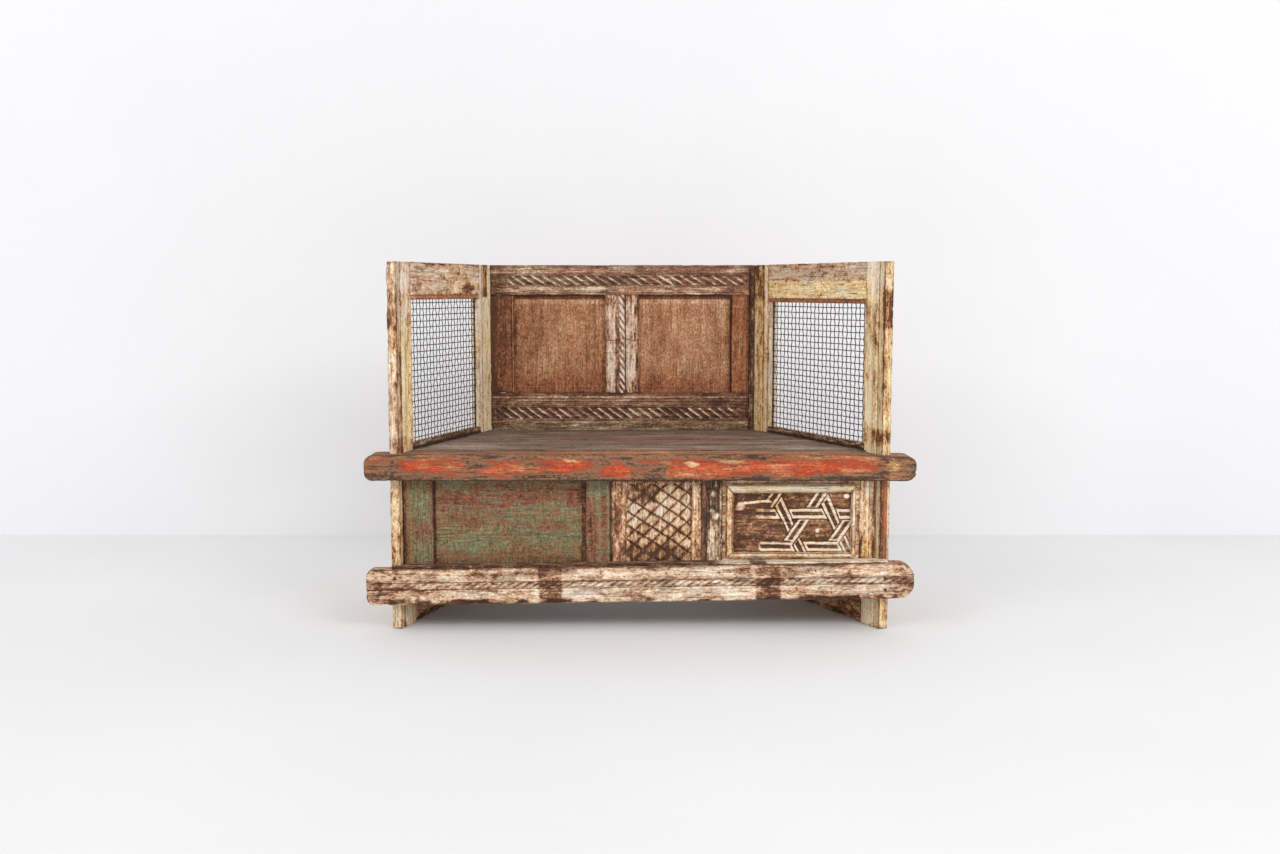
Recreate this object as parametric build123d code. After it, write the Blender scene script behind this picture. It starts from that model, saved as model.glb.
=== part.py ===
"""A persian takht: a low, wide wooden seat with a panelled back between two splayed side frames.

Millimetres. X runs along the seat, Y from front to back and Z up. The origin is on the floor under the
middle of the bounding box. Pieces are worked out with Y measured from the front corners of the side frames,
and save() moves them.
"""

import os
from math import atan2, ceil, cos, degrees, radians, sin, tan

from build123d import *

# Whole seat
overall_height = 847.0
front_width = 1150.0  # over the outer front corners of the side frames
inside_depth = 495.0  # from those corners to the face of the back
frame_thickness = 25.0  # of both side frames and of the back frame
left_splay = 17.2  # degrees by which a side frame turns inwards towards the back
right_splay = 26.2  # degrees, likewise
seat_height = 412.0

# Side frames
front_post_width = 72.0
rear_post_width = 66.0
left_top_rail_height = 78.0
right_top_rail_height = 87.0
side_sill_height = 40.0
side_sill_rise = 5.0  # of the sill's top over the seat
side_board_thickness = 18.0
tenon_thickness = 9.0
tenon_length = 30.0
tenon_shoulder = 12.0
tenon_clearance = 0.2
groove_depth = 8.0

# Wire mesh and the beads that hold it
mesh_row_pitch = 14.4
mesh_column_pitch = 17.2
wire_diameter = 2.2
mesh_recess = 11.5  # from the inner face of the side frame to the mesh
bead_width = 10.0
upright_bead_width = 6.0
bead_setback = 1.5
end_clearance = 0.5

# Front rails
rail_end_reach = 54.0  # of both rails beyond the side frames
rail_overhang = 32.0  # of both rails in front of the side frames
seat_rail_height = 63.0
seat_rail_depth = 75.0
seat_rail_end_radius = 22.0
bottom_rail_height = 84.0
bottom_rail_middle = 111.0  # height of its middle over the floor
bottom_rail_left_radius = 18.0
bottom_rail_right_radius = 34.0
bottom_rail_tilt = 0.78  # degrees that it rises to the right
worn_edge_radius = 4.0
ledge_height = 5.0
ledge_depth = 32.0
ledge_end_setback = 5.0
nail_thickness = 4.0
nail_length = 52.0
nail_head_width = 10.0
nail_head_height = 2.5
nail_spacing = 26.0
nail_inset = 13.0  # from the outer front corner of the side frame

# Boards of the lower front, from left to right
board_face = 8.0  # behind the front corners of the side frames
board_thickness = 20.0
board_gap = 0.4
board_lap = 58.0  # over the back of the bottom rail, at its middle
green_left_stile_width = 69.0
green_right_stile_width = 54.0
green_panel_setback = 3.0
green_panel_left_quirk = 4.6
green_panel_right_quirk = 8.0
green_panel_tongue = 8.0
open_joint = 5.0  # the gap beside the lattice board
cover_strip_width = 30.0  # of the strip behind that gap
cover_strip_thickness = 8.0
lattice_board_width = 206.0
lattice_left_margin = 37.0
lattice_right_margin = 24.0
lattice_top_margin = 11.0
lattice_bottom_margin = 12.0
lattice_height = 34.0  # of one diamond
lattice_falling_slope = 34.0  # degrees by which the grooves that fall to the right lean
lattice_rising_slope = 45.0  # degrees, of the other grooves
lattice_crossing_offset = 77.5  # of one crossing from the field's left edge
lattice_crossing_height = 100.0  # of that crossing over the field's lower edge
lattice_groove = 4.4
filler_strip_width = 11.0
dark_stile_width = 38.0
carved_board_width = 315.0
moulding_width = 12.5
moulding_left_width = 20.0
moulding_top_width = 20.5
moulding_thickness = 8.0
moulding_chamfer = 3.0
moulding_left_margin = 6.0
moulding_right_margin = 7.5
moulding_top_margin = 11.0
moulding_bottom_margin = 13.0  # over the bottom rail's top
strap_row_spacing = 80.0  # between the level straps
strap_crossing_spacing = 103.0  # between parallel slanting straps, along a level one
strap_width = 26.0
strap_relief = 3.0
strap_groove_width = 9.0
strap_groove_depth = 1.8
strap_row_height = 93.0  # of the upper level strap over the opening's lower edge
strap_crossing_offset = 118.0  # of a falling strap on it from the opening's left edge
plain_part_width = 78.0  # of the opening, where the straps have worn away
end_stile_width = 37.0

# Back
back_top_rail_height = 79.0
back_bottom_rail_rise = 98.0  # of its top over the seat
back_bottom_rail_drop = 40.0  # of its foot under the seat
back_left_stile_width = 67.0
back_right_stile_width = 52.0
back_muntin_width = 90.0
back_muntin_middle = -48.0
back_panel_thickness = 10.0
back_panel_setback = 8.0
corner_batten_width = 14.6
rear_bottom_rail_height = 60.0
rear_bottom_rail_lift = 70.0

# Seat
seat_board_thickness = 18.0
seat_board_count = 4
seat_board_gap = 0.6
bearer_width = 30.0
bearer_height = 45.0
bearer_tenon_width = 12.0
bearer_tenon_length = 15.0
bearer_shoulder = 12.0
bearer_inset = 64.0  # of the outer bearers' middles from the side frames, at the back
rear_seat_rail_thickness = 25.0
rear_seat_rail_height = 48.0
cleat_width = 22.0
cleat_height = 30.0

# Places that follow from the sizes
overall_depth = rail_overhang + inside_depth + frame_thickness
rail_length = front_width + 2 * rail_end_reach
front_plane = rail_overhang - overall_depth / 2
rear_face = inside_depth + frame_thickness
seat_rail_back = seat_rail_depth - rail_overhang
seat_underside = seat_height - seat_board_thickness
mesh_bottom = seat_height + side_sill_rise
board_top = seat_height - seat_rail_height
bottom_rail_top = bottom_rail_middle + bottom_rail_height / 2
board_foot = bottom_rail_top - board_lap - rail_length / 2 * sin(radians(bottom_rail_tilt))
beyond = 2 * (overall_depth + overall_height)
splay = {"left": left_splay, "right": right_splay}
top_rail_height = {"left": left_top_rail_height, "right": right_top_rail_height}


def save(name, piece):
    """Writes one sub-part, moved so that the origin is under the middle."""
    export_step(Pos(0, front_plane, 0) * piece, f"parts/{name}.step")


def block(x, y, z):
    """A square piece between two values on each axis."""
    size = Box(x[1] - x[0], y[1] - y[0], z[1] - z[0])
    return Pos((x[0] + x[1]) / 2, (y[0] + y[1]) / 2, (z[0] + z[1]) / 2) * size


def plan_prism(points, z):
    """An upright piece with the given outline, seen from above."""
    outline = make_face(Polyline(*points, close=True))
    return Pos(0, 0, z[0]) * extrude(outline, amount=z[1] - z[0], dir=(0, 0, 1))


def front_prism(points, y):
    """A piece with the given outline, seen from the front."""
    outline = make_face(Polyline(*[(px, 0, pz) for px, pz in points], close=True))
    return Pos(0, y[0], 0) * extrude(outline, amount=y[1] - y[0], dir=(0, 1, 0))


# ---------------------------------------------------------------- side frames


def on_side(side, piece):
    """Places a piece of a side frame, whose X goes inwards from the outer face and Y back along the frame."""
    placed = Pos(-front_width / 2, 0, 0) * Rot(0, 0, -splay[side]) * piece
    return placed if side == "left" else mirror(placed, about=Plane.YZ)


def inner_x(side, y):
    """X of the inner face of a side frame at a depth."""
    angle = radians(splay[side])
    reach = front_width / 2 - frame_thickness / cos(angle) - y * tan(angle)
    return -reach if side == "left" else reach


def inner_length(side):
    """Length of a side frame's inner face, from its front end to the back frame."""
    angle = radians(splay[side])
    return (inside_depth + frame_thickness * sin(angle)) / cos(angle)


def opening_length(side):
    """Both ends of a side frame's opening, along the frame."""
    return front_post_width, inner_length(side) - rear_post_width


def side_tenons(side, z, clearance=0.0):
    """The two tenons of a side rail as one bar."""
    near, far = opening_length(side)
    middle = frame_thickness / 2
    half = tenon_thickness / 2 + clearance
    reach = tenon_length + clearance
    rise = (z[0] + tenon_shoulder - clearance, z[1] - tenon_shoulder + clearance)
    return block((middle - half, middle + half), (near - reach, far + reach), rise)


def side_slab(side):
    """The whole space that a side frame stands in."""
    return on_side(side, block((0, frame_thickness), (0, beyond), (-beyond, beyond)))


def rail_levels(side):
    """Heights of the top rail and of the sill."""
    top = (overall_height - top_rail_height[side], overall_height)
    sill = (mesh_bottom - side_sill_height, mesh_bottom)
    return top, sill


def side_board(side):
    """The lower board, which stands on the floor, with its tongued edges."""
    near, far = opening_length(side)
    inset = (frame_thickness - side_board_thickness) / 2
    sill = rail_levels(side)[1]
    across = (inset, inset + side_board_thickness)
    return block(across, (near - groove_depth, far + groove_depth), (0, sill[0] + groove_depth))


def make_side_frame(side):
    """Two posts, two rails and the lower board."""
    near, far = opening_length(side)
    top, sill = rail_levels(side)
    board = side_board(side)
    joints = board + side_tenons(side, top, tenon_clearance) + side_tenons(side, sill, tenon_clearance)

    front_post = block((0, frame_thickness), (0, near), (0, overall_height)) - joints
    rear_post = block((0, frame_thickness), (far, beyond), (0, overall_height)) - joints
    behind = block((-beyond, beyond), (rear_face, 3 * beyond), (-beyond, beyond))
    top_rail = block((0, frame_thickness), (near, far), top) + side_tenons(side, top)
    sill_rail = block((0, frame_thickness), (near, far), sill) + side_tenons(side, sill) - board

    save(f"{side}_front_post", on_side(side, front_post) - rail_nails())
    save(f"{side}_rear_post", on_side(side, rear_post) - behind)
    save(f"{side}_wing_top_rail", on_side(side, top_rail))
    save(f"{side}_wing_sill", on_side(side, sill_rail))
    save(f"{side}_side_board", on_side(side, board))


# ---------------------------------------------------------------- mesh


def bead_ring(side, across):
    """Top, bottom, front and rear beads around a side frame's opening, with the given thickness."""
    near, far = opening_length(side)
    low, high = mesh_bottom, overall_height - top_rail_height[side]
    inner = (low + bead_width, high - bead_width)
    return {
        "top_bead": block(across, (near, far), (inner[1], high)),
        "bottom_bead": block(across, (near, far), (low, inner[0])),
        "front_bead": block(across, (near, near + upright_bead_width), inner),
        "rear_bead": block(across, (far - upright_bead_width, far), inner),
    }


def make_mesh(side):
    """Straight eight-sided wires in two layers, flat on flat, and the beads on both faces."""
    near, far = opening_length(side)
    low, high = mesh_bottom, overall_height - top_rail_height[side]
    radius = wire_diameter / 2
    level_at = frame_thickness - mesh_recess - radius
    upright_at = level_at - wire_diameter
    outer_face = upright_at - radius

    length = far - near - 2 * end_clearance
    height = high - low - 2 * end_clearance
    rows = int((height - wire_diameter) / mesh_row_pitch)
    columns = int((length - wire_diameter) / mesh_column_pitch)
    first_row = (high + low - rows * mesh_row_pitch) / 2
    first_column = (near + far - columns * mesh_column_pitch) / 2

    section = RegularPolygon(radius, 8, major_radius=False, rotation=22.5)
    level = extrude(Plane.XZ * section, amount=length / 2, both=True)
    upright = extrude(section, amount=height / 2, both=True)
    across, up = (near + far) / 2, (low + high) / 2
    wires = [Pos(level_at, across, first_row + i * mesh_row_pitch) * level for i in range(rows + 1)]
    wires += [Pos(upright_at, first_column + i * mesh_column_pitch, up) * upright for i in range(columns + 1)]
    save(f"{side}_wire_mesh", Compound(children=[on_side(side, wire) for wire in wires]))

    for name, bead in bead_ring(side, (level_at + radius, frame_thickness - bead_setback)).items():
        save(f"{side}_{name}", on_side(side, bead))
    outer = bead_ring(side, (bead_setback, outer_face)).values()
    save(f"{side}_outer_beads", Compound(children=[on_side(side, bead) for bead in outer]))


# ---------------------------------------------------------------- front rails


def make_front_rail(height, depth, left_radius, right_radius):
    """A long rail with rounded ends and a worn front edge, its middle at the origin."""
    outline = Rectangle(rail_length, height)
    corners = outline.vertices()
    outline = fillet(corners.filter_by_position(Axis.X, -rail_length, 0), left_radius)
    right = outline.vertices().sort_by(Axis.X)[-2:]
    outline = fillet(right, right_radius)
    rail = extrude(Plane.XZ * outline, amount=depth, dir=(0, 1, 0))
    front = rail.faces().sort_by(Axis.Y)[0]
    return fillet(front.edges(), worn_edge_radius)


def rail_nails():
    """The forged square nails that hold both rails to the front posts, with flush heads."""
    shank = Box(nail_thickness, nail_length, nail_thickness)
    outline = RegularPolygon(nail_head_width / 2, 8, major_radius=False)
    head = extrude(Plane.XZ * outline, amount=nail_head_height, dir=(0, 1, 0))
    nail = Pos(0, nail_length / 2, 0) * shank + head
    nails = []
    for middle in (seat_height - seat_rail_height / 2, bottom_rail_middle):
        for x in (nail_inset - front_width / 2, front_width / 2 - nail_inset):
            for rise in (-nail_spacing / 2, nail_spacing / 2):
                nails.append(Pos(x, -rail_overhang, middle + rise) * nail)
    return Compound(children=nails)


def tilted(piece):
    """Turns a piece about the middle of the bottom rail."""
    return Pos(0, 0, bottom_rail_middle) * Rot(0, -bottom_rail_tilt, 0) * piece


def make_front_rails():
    """Both rails, notched over the side frames, with the ledge on the lower one."""
    sides = side_slab("left") + side_slab("right")
    nails = rail_nails()

    seat_rail = make_front_rail(seat_rail_height, seat_rail_depth, seat_rail_end_radius, seat_rail_end_radius)
    seat_rail = Pos(0, -rail_overhang, seat_height - seat_rail_height / 2) * seat_rail
    save("seat_front_rail", seat_rail - sides - nails - bearer_tenons())

    depth = rail_overhang + board_face
    bottom = make_front_rail(bottom_rail_height, depth, bottom_rail_left_radius, bottom_rail_right_radius)
    save("front_bottom_rail", tilted(Pos(0, -rail_overhang, 0) * bottom) - sides - nails)

    reach = front_width / 2 - ledge_end_setback
    rise = (bottom_rail_height / 2, bottom_rail_height / 2 + ledge_height)
    ledge = tilted(block((-reach, reach), (board_face - ledge_depth, board_face), rise))
    save("front_ledge", ledge - sides)
    save("rail_nails", nails)


# ---------------------------------------------------------------- lower front


def front_board(x):
    """A plain upright board of the lower front."""
    return block(x, (board_face, board_face + board_thickness), (board_foot, board_top))


def lattice_board(x):
    """A board with a field of diamonds between crossing grooves."""
    field_x = (x[0] + lattice_left_margin, x[1] - lattice_right_margin)
    field_z = (board_foot + board_lap + lattice_bottom_margin, board_top - lattice_top_margin)
    field = block(field_x, (board_face - board_thickness, board_face + board_thickness), field_z)
    reach = field_x[1] - field_x[0] + field_z[1] - field_z[0]
    steps = ceil(reach / lattice_height)
    side = lattice_groove / 2 ** 0.5
    groove = Rot(45, 0, 0) * Box(2 * reach, side, side)
    grooves = []
    for i in range(-steps, steps + 1):
        height = field_z[0] + lattice_crossing_height + i * lattice_height
        for slope in (lattice_falling_slope, -lattice_rising_slope):
            turned = Pos(field_x[0] + lattice_crossing_offset, board_face, height) * Rot(0, slope, 0) * groove
            grooves.append(turned & field)
    return front_board(x) - [cut for cut in grooves if cut]


def strap_lines(x, z):
    """Middle points and angles of the falling, level and rising straps, which make hexagons and triangles."""
    slope = degrees(atan2(2 * strap_row_spacing, strap_crossing_spacing))
    row, crossing = z[0] + strap_row_height, x[0] + strap_crossing_offset
    rows = range(-1, ceil((z[1] - z[0]) / strap_row_spacing) + 1)
    crossings = range(-2, ceil((x[1] - x[0]) / strap_crossing_spacing) + 2)
    level = [((x[0] + x[1]) / 2, row - i * strap_row_spacing, 0) for i in rows]
    falling = [(crossing + i * strap_crossing_spacing, row, slope) for i in crossings]
    rising = [(crossing + (i + 0.5) * strap_crossing_spacing, row, -slope) for i in crossings]
    return falling, level, rising


def carved_board(x):
    """A board whose face has flat straps in low relief inside the moulding, woven by the grooves in them."""
    opening_x, opening_z = moulding_opening(x)
    relief = (board_face - 2 * strap_relief, board_face + 2 * strap_relief)
    carved = block((opening_x[0] + plain_part_width, opening_x[1]), relief, opening_z)
    reach = 2 * (opening_x[1] - opening_x[0])

    def bars(lines, width, depth):
        """The bars of the given width along the lines, as far as the carving goes."""
        bar = Box(reach, depth, width)
        placed = [Pos(px, board_face, pz) * Rot(0, angle, 0) * bar & carved for px, pz, angle in lines]
        return [piece for piece in placed if piece]

    families = strap_lines(opening_x, opening_z)
    straps = [bars(lines, strap_width, 4 * strap_relief) for lines in families]
    pockets = block(opening_x, (relief[0], board_face + strap_relief), opening_z)
    board = front_board(x) - (pockets - sum(straps, []))
    for over, lines in zip((straps[2], straps[0], straps[1]), families):
        for groove in bars(lines, strap_groove_width, 2 * strap_groove_depth):
            board -= groove - over
    return board


def moulding_edges(x):
    """The outer edges of the moulding on a board, seen from the front."""
    across = (x[0] + moulding_left_margin, x[1] - moulding_right_margin)
    return across, (bottom_rail_top + moulding_bottom_margin, board_top - moulding_top_margin)


def moulding_opening(x):
    """The inner edges of that moulding."""
    across, up = moulding_edges(x)
    across = (across[0] + moulding_left_width, across[1] - moulding_width)
    return across, (up[0] + moulding_width, up[1] - moulding_top_width)


def make_mouldings(x):
    """Four mitred strips around the carved field."""
    outer, inner = (
        [(across[0], up[0]), (across[1], up[0]), (across[1], up[1]), (across[0], up[1])]
        for across, up in (moulding_edges(x), moulding_opening(x))
    )
    for i, name in enumerate(("bottom", "right", "top", "left")):
        j = (i + 1) % 4
        outline = [outer[i], outer[j], inner[j], inner[i]]
        strip = front_prism(outline, (board_face - moulding_thickness, board_face))
        face = strip.faces().sort_by(Axis.Y)[0]
        long_edges = face.edges().filter_by(Axis.X if name in ("bottom", "top") else Axis.Z)
        save(f"carved_{name}_moulding", chamfer(long_edges, moulding_chamfer))


def make_lower_front():
    """The boards between the posts, behind the bottom rail and under the seat rail."""
    depth = (board_face, board_face + board_thickness)
    rise = (board_foot, board_top)
    right = inner_x("right", depth[1])

    def next_board(width, gap=board_gap):
        """The next board's two edges, going left from the last one."""
        nonlocal edge
        far = edge - gap
        edge = far - width
        return edge, far

    edge = inner_x("right", depth[0]) - end_stile_width
    outline = [(edge, depth[0]), (inner_x("right", depth[0]), depth[0]), (right, depth[1]), (edge, depth[1])]
    save("end_stile", plan_prism(outline, rise))
    carved = next_board(carved_board_width)
    save("carved_board", carved_board(carved))
    make_mouldings(carved)
    save("dark_stile", front_board(next_board(dark_stile_width)))
    save("filler_strip", front_board(next_board(filler_strip_width)))
    lattice = next_board(lattice_board_width)
    save("lattice_board", lattice_board(lattice))
    stile = next_board(green_right_stile_width, open_joint)
    joint = (stile[1] + lattice[0]) / 2
    strip_x = (joint - cover_strip_width / 2, joint + cover_strip_width / 2)
    save("joint_cover_strip", block(strip_x, (depth[1], depth[1] + cover_strip_thickness), rise))

    left = inner_x("left", depth[0])
    inner = left + green_left_stile_width
    tongue_y = (depth[1] - 1.5 * green_panel_tongue, depth[1] - 0.5 * green_panel_tongue)
    tongue = block((inner - groove_depth, stile[0] + groove_depth), tongue_y, rise)
    field_x = (inner + green_panel_left_quirk, stile[0] - green_panel_right_quirk)
    field = block(field_x, (depth[0] + green_panel_setback, tongue_y[1]), rise)
    left_back = inner_x("left", depth[1])
    outline = [(left, depth[0]), (inner, depth[0]), (inner, depth[1]), (left_back, depth[1])]
    save("green_panel", field + tongue)
    save("green_left_stile", plan_prism(outline, rise) - tongue)
    save("green_right_stile", front_board(stile) - tongue)


# ---------------------------------------------------------------- back


def between_sides(y, z, clearance=0.0, right_inset=0.0):
    """A piece that fills the width between the side frames."""
    points = [
        (inner_x("left", y[0]) + clearance, y[0]),
        (inner_x("right", y[0]) - clearance - right_inset, y[0]),
        (inner_x("right", y[1]) - clearance - right_inset, y[1]),
        (inner_x("left", y[1]) + clearance, y[1]),
    ]
    return plan_prism(points, z)


def back_tenons(x, z, clearance=0.0):
    """The tenons at both ends of an upright of the back, as one bar."""
    middle = inside_depth + frame_thickness / 2
    half = tenon_thickness / 2 + clearance
    across = (x[0] + tenon_shoulder - clearance, x[1] - tenon_shoulder + clearance)
    reach = tenon_length + clearance
    return block(across, (middle - half, middle + half), (z[0] - reach, z[1] + reach))


def make_back():
    """A frame of two rails, two stiles and a muntin, with two panels in its grooves."""
    y = (inside_depth, rear_face)
    seat_side = (seat_height - back_bottom_rail_drop, seat_height + back_bottom_rail_rise)
    top_side = (overall_height - back_top_rail_height, overall_height)
    upright = (seat_side[1], top_side[0])
    panel_y = (y[0] + back_panel_setback, y[0] + back_panel_setback + back_panel_thickness)
    batten = corner_batten_width

    left = (inner_x("left", y[0]), inner_x("left", y[0]) + back_left_stile_width)
    right_end = inner_x("right", y[0]) - batten
    right = (right_end - back_right_stile_width, right_end)
    muntin = (back_muntin_middle - back_muntin_width / 2, back_muntin_middle + back_muntin_width / 2)
    narrow_left = (inner_x("left", y[1]), left[1])
    narrow_right = (right[0], inner_x("right", y[1]) - batten)

    grown = (upright[0] - groove_depth, upright[1] + groove_depth)
    left_panel = block((left[1] - groove_depth, muntin[0] + groove_depth), panel_y, grown)
    right_panel = block((muntin[1] - groove_depth, right[0] + groove_depth), panel_y, grown)
    panels = left_panel + right_panel
    mortises = [back_tenons(x, upright, tenon_clearance) for x in (narrow_left, muntin, narrow_right)]

    left_outline = [(left[0], y[0]), (left[1], y[0]), (left[1], y[1]), (narrow_left[0], y[1])]
    right_outline = [(right[0], y[0]), (right[1], y[0]), (narrow_right[1], y[1]), (right[0], y[1])]
    left_stile = plan_prism(left_outline, upright) + back_tenons(narrow_left, upright)
    right_stile = plan_prism(right_outline, upright) + back_tenons(narrow_right, upright)
    middle = block(muntin, y, upright) + back_tenons(muntin, upright)

    top_rail = between_sides(y, top_side, right_inset=batten) - mortises - panels
    bottom_rail = between_sides(y, seat_side, right_inset=batten) - mortises - panels
    batten_outline = [
        (right_end, y[0]),
        (inner_x("right", y[0]), y[0]),
        (inner_x("right", y[1]), y[1]),
        (narrow_right[1], y[1]),
    ]
    save("back_left_stile", left_stile - left_panel)
    save("back_right_stile", right_stile - right_panel)
    save("back_muntin", middle - panels)
    save("back_left_panel", left_panel)
    save("back_right_panel", right_panel)

    low = (rear_bottom_rail_lift, rear_bottom_rail_lift + rear_bottom_rail_height)
    save("right_corner_batten", plan_prism(batten_outline, (seat_side[0], overall_height)))
    save("rear_bottom_rail", between_sides(y, low))
    save("back_bottom_rail", bottom_rail)
    save("back_top_rail", top_rail)


# ---------------------------------------------------------------- seat


def bearer_bars(width, rise, reach):
    """The left, middle and right bar under the seat, from the front rail to the rear one."""
    back = inside_depth - rear_seat_rail_thickness
    run = (seat_rail_back - reach, back + reach)
    left = inner_x("left", inside_depth) + bearer_inset
    right = inner_x("right", inside_depth) - bearer_inset
    places = (left, (left + right) / 2, right)
    return [block((x - width / 2, x + width / 2), run, rise) for x in places]


def bearer_tenons():
    """The tenons at both ends of each bearer, as one bar."""
    rise = (board_top + bearer_shoulder / 2, seat_underside - bearer_shoulder / 2)
    return bearer_bars(bearer_tenon_width, rise, bearer_tenon_length)


def make_seat():
    """Boards on bearers and cleats."""
    step = (inside_depth - seat_rail_back) / seat_board_count
    for i in range(seat_board_count):
        start = seat_rail_back + i * step
        across = (start, start + step - seat_board_gap)
        board = between_sides(across, (seat_underside, seat_height), end_clearance)
        save(f"seat_board_{i + 1}", board)

    tenons = bearer_tenons()
    bearers = bearer_bars(bearer_width, (seat_underside - bearer_height, seat_underside), 0)
    for name, bearer, tenon in zip(("left", "middle", "right"), bearers, tenons):
        save(f"{name}_seat_bearer", bearer + tenon)

    back = inside_depth - rear_seat_rail_thickness
    rear_rail = between_sides((back, inside_depth), (seat_underside - rear_seat_rail_height, seat_underside))
    save("rear_seat_rail", rear_rail - tenons)

    gap = block((-beyond, beyond), (seat_rail_back, back), (-beyond, beyond))
    for side in ("left", "right"):
        across = (frame_thickness, frame_thickness + cleat_width)
        cleat = block(across, (-beyond, beyond), (seat_underside - cleat_height, seat_underside))
        save(f"{side}_seat_cleat", on_side(side, cleat) & gap)


os.makedirs("parts", exist_ok=True)
for frame_side in ("left", "right"):
    make_side_frame(frame_side)
    make_mesh(frame_side)
make_front_rails()
make_lower_front()
make_back()
make_seat()
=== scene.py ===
"""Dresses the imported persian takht: worn painted boards, carving, wire mesh, floor, light and camera.

Sizes are in millimetres and are turned into metres when a mesh is made. Board coordinates are those of the solids, with
Y measured from the front corners of the side frames.
"""

import bpy
import numpy as np
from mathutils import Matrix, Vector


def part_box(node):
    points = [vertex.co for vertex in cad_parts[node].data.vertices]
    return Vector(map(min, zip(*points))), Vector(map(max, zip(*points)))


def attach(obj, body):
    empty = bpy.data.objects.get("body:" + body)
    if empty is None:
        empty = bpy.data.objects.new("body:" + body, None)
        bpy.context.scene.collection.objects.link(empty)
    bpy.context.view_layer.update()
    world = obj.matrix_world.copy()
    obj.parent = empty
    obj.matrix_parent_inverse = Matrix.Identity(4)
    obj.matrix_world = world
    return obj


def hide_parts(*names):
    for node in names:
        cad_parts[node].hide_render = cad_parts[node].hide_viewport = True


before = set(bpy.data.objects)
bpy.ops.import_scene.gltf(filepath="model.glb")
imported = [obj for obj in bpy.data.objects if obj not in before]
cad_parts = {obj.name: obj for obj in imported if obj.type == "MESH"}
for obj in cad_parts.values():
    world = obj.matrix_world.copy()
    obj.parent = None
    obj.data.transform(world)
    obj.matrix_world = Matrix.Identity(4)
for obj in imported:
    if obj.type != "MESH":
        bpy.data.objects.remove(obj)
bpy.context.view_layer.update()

# Sizes shared with the solids
FRONT_PLANE = -244.0
FRONT_WIDTH = 1150.0
DEPTH = 495.0
THICK = 25.0
HEIGHT = 847.0
SEAT = 412.0
SUPPORT_TOP = SEAT - 18.0  # where the seat boards lie
SEAT_FRONT = 43.0  # the back of the seat's front rail
REAR_RAIL_FRONT = DEPTH - 25.0
SPLAY = {"left": np.radians(17.2), "right": np.radians(26.2)}
FRONT_POST = 72.0
REAR_POST = 66.0
TOP_RAIL = {"left": 78.0, "right": 87.0}
SILL = (377.0, 417.0)
SIDE_BOARD = (3.5, 21.5)  # its depth in the frame
SEAT_RAIL_LOW = 349.0
RAIL_FRONT = -32.0  # of both front rails
RAIL_HALF = 629.0  # half of their length
RAIL_MIDDLE = 111.0  # height of the bottom rail
RAIL_RISE = 42.0  # half of its height
RAIL_TILT = np.radians(0.78)
NAIL_X = 562.0
TACK_RISE = 26.0
FACE_AT = 8.0  # the face of the boards between the rails
BEAD = 10.0
UPRIGHT_BEAD = 6.0
ROW_PITCH = 14.4
COLUMN_PITCH = 17.2
WIRE = 1.1
LEVEL_AT = THICK - 11.5 - WIRE  # depth of the inner wires

seeds = iter(range(1, 1000))
ACROSS_UP = (0, 2)  # the axes of a board that faces forwards
ALONG_UP = (1, 2)  # those of a side frame's face
ACROSS_BACK = (0, 1)  # those of the seat
FORWARDS = (1, -1)  # axis and sign of a face that is carved
INWARDS = (0, 1)


# ---- noise and masks


def hashed(i, j, k, seed):
    """A random number between 0 and 1 for each point of a lattice."""
    h = (i * 374761393 + j * 668265263 + k * 974711 + seed * 1274126177) & 0xFFFFFFFF
    h = ((h ^ (h >> 13)) * 1274126177) & 0xFFFFFFFF
    h = ((h ^ (h >> 15)) * 2246822519) & 0xFFFFFFFF
    return ((h ^ (h >> 16)) & 0xFFFF) / 0xFFFF


def noise(p, cell, seed=0):
    """Smooth noise between 0 and 1, with cells of the given size along each axis."""
    q = p / np.asarray(cell, float)
    base = np.floor(q).astype(np.int64)
    f = q - base
    f = f * f * (3 - 2 * f)
    total = np.zeros(len(p))
    for a in (0, 1):
        for b in (0, 1):
            for c in (0, 1):
                weight = np.abs(1 - a - f[:, 0]) * np.abs(1 - b - f[:, 1]) * np.abs(1 - c - f[:, 2])
                total += weight * hashed(base[:, 0] + a, base[:, 1] + b, base[:, 2] + c, seed)
    return total


def layered(p, cell, seed=0, layers=3):
    """Noise with finer layers on it."""
    total, weight, scale = np.zeros(len(p)), 0.0, 1.0
    for i in range(layers):
        total += scale * noise(p, np.asarray(cell, float) * scale, seed + 17 * i)
        weight += scale
        scale *= 0.5
    return total / weight


def ramp(v, low, high):
    """0 below low, 1 above high and smooth between."""
    t = np.clip((v - low) / (high - low), 0, 1)
    return t * t * (3 - 2 * t)


def band(v, low, high, soft=2.0):
    """1 between two values and 0 outside."""
    return ramp(v, low - soft, low + soft) * (1 - ramp(v, high - soft, high + soft))


def spot(u, v, cu, cv, ru, rv, soft=0.3):
    """1 in an oval and 0 outside."""
    return 1 - ramp(np.hypot((u - cu) / ru, (v - cv) / rv), 1 - soft, 1 + soft)


def warped(p, reach=9.0, cell=26.0, seed=61):
    """Points moved about by noise, so that a patch worked out from them has a ragged edge."""
    return p + np.stack([reach * (2 * layered(p, (cell,) * 3, seed + 5 * i) - 1) for i in range(3)], 1)


def patches(p, *spots, axes=ACROSS_UP, start=0.0):
    """Adds up ragged ovals, each given by its middle, radii and weight. start: where the first axis begins."""
    u, v = warped(p).T[list(axes)]
    return sum(weight * spot(u, v, start + cu, cv, ru, rv, 0.4) for cu, cv, ru, rv, weight in spots)


def groove(d, width, depth):
    """A round-bottomed groove, where d is the distance from its middle line."""
    return depth * (1 - ramp(np.abs(d), 0.15 * width, 0.5 * width))


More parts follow.
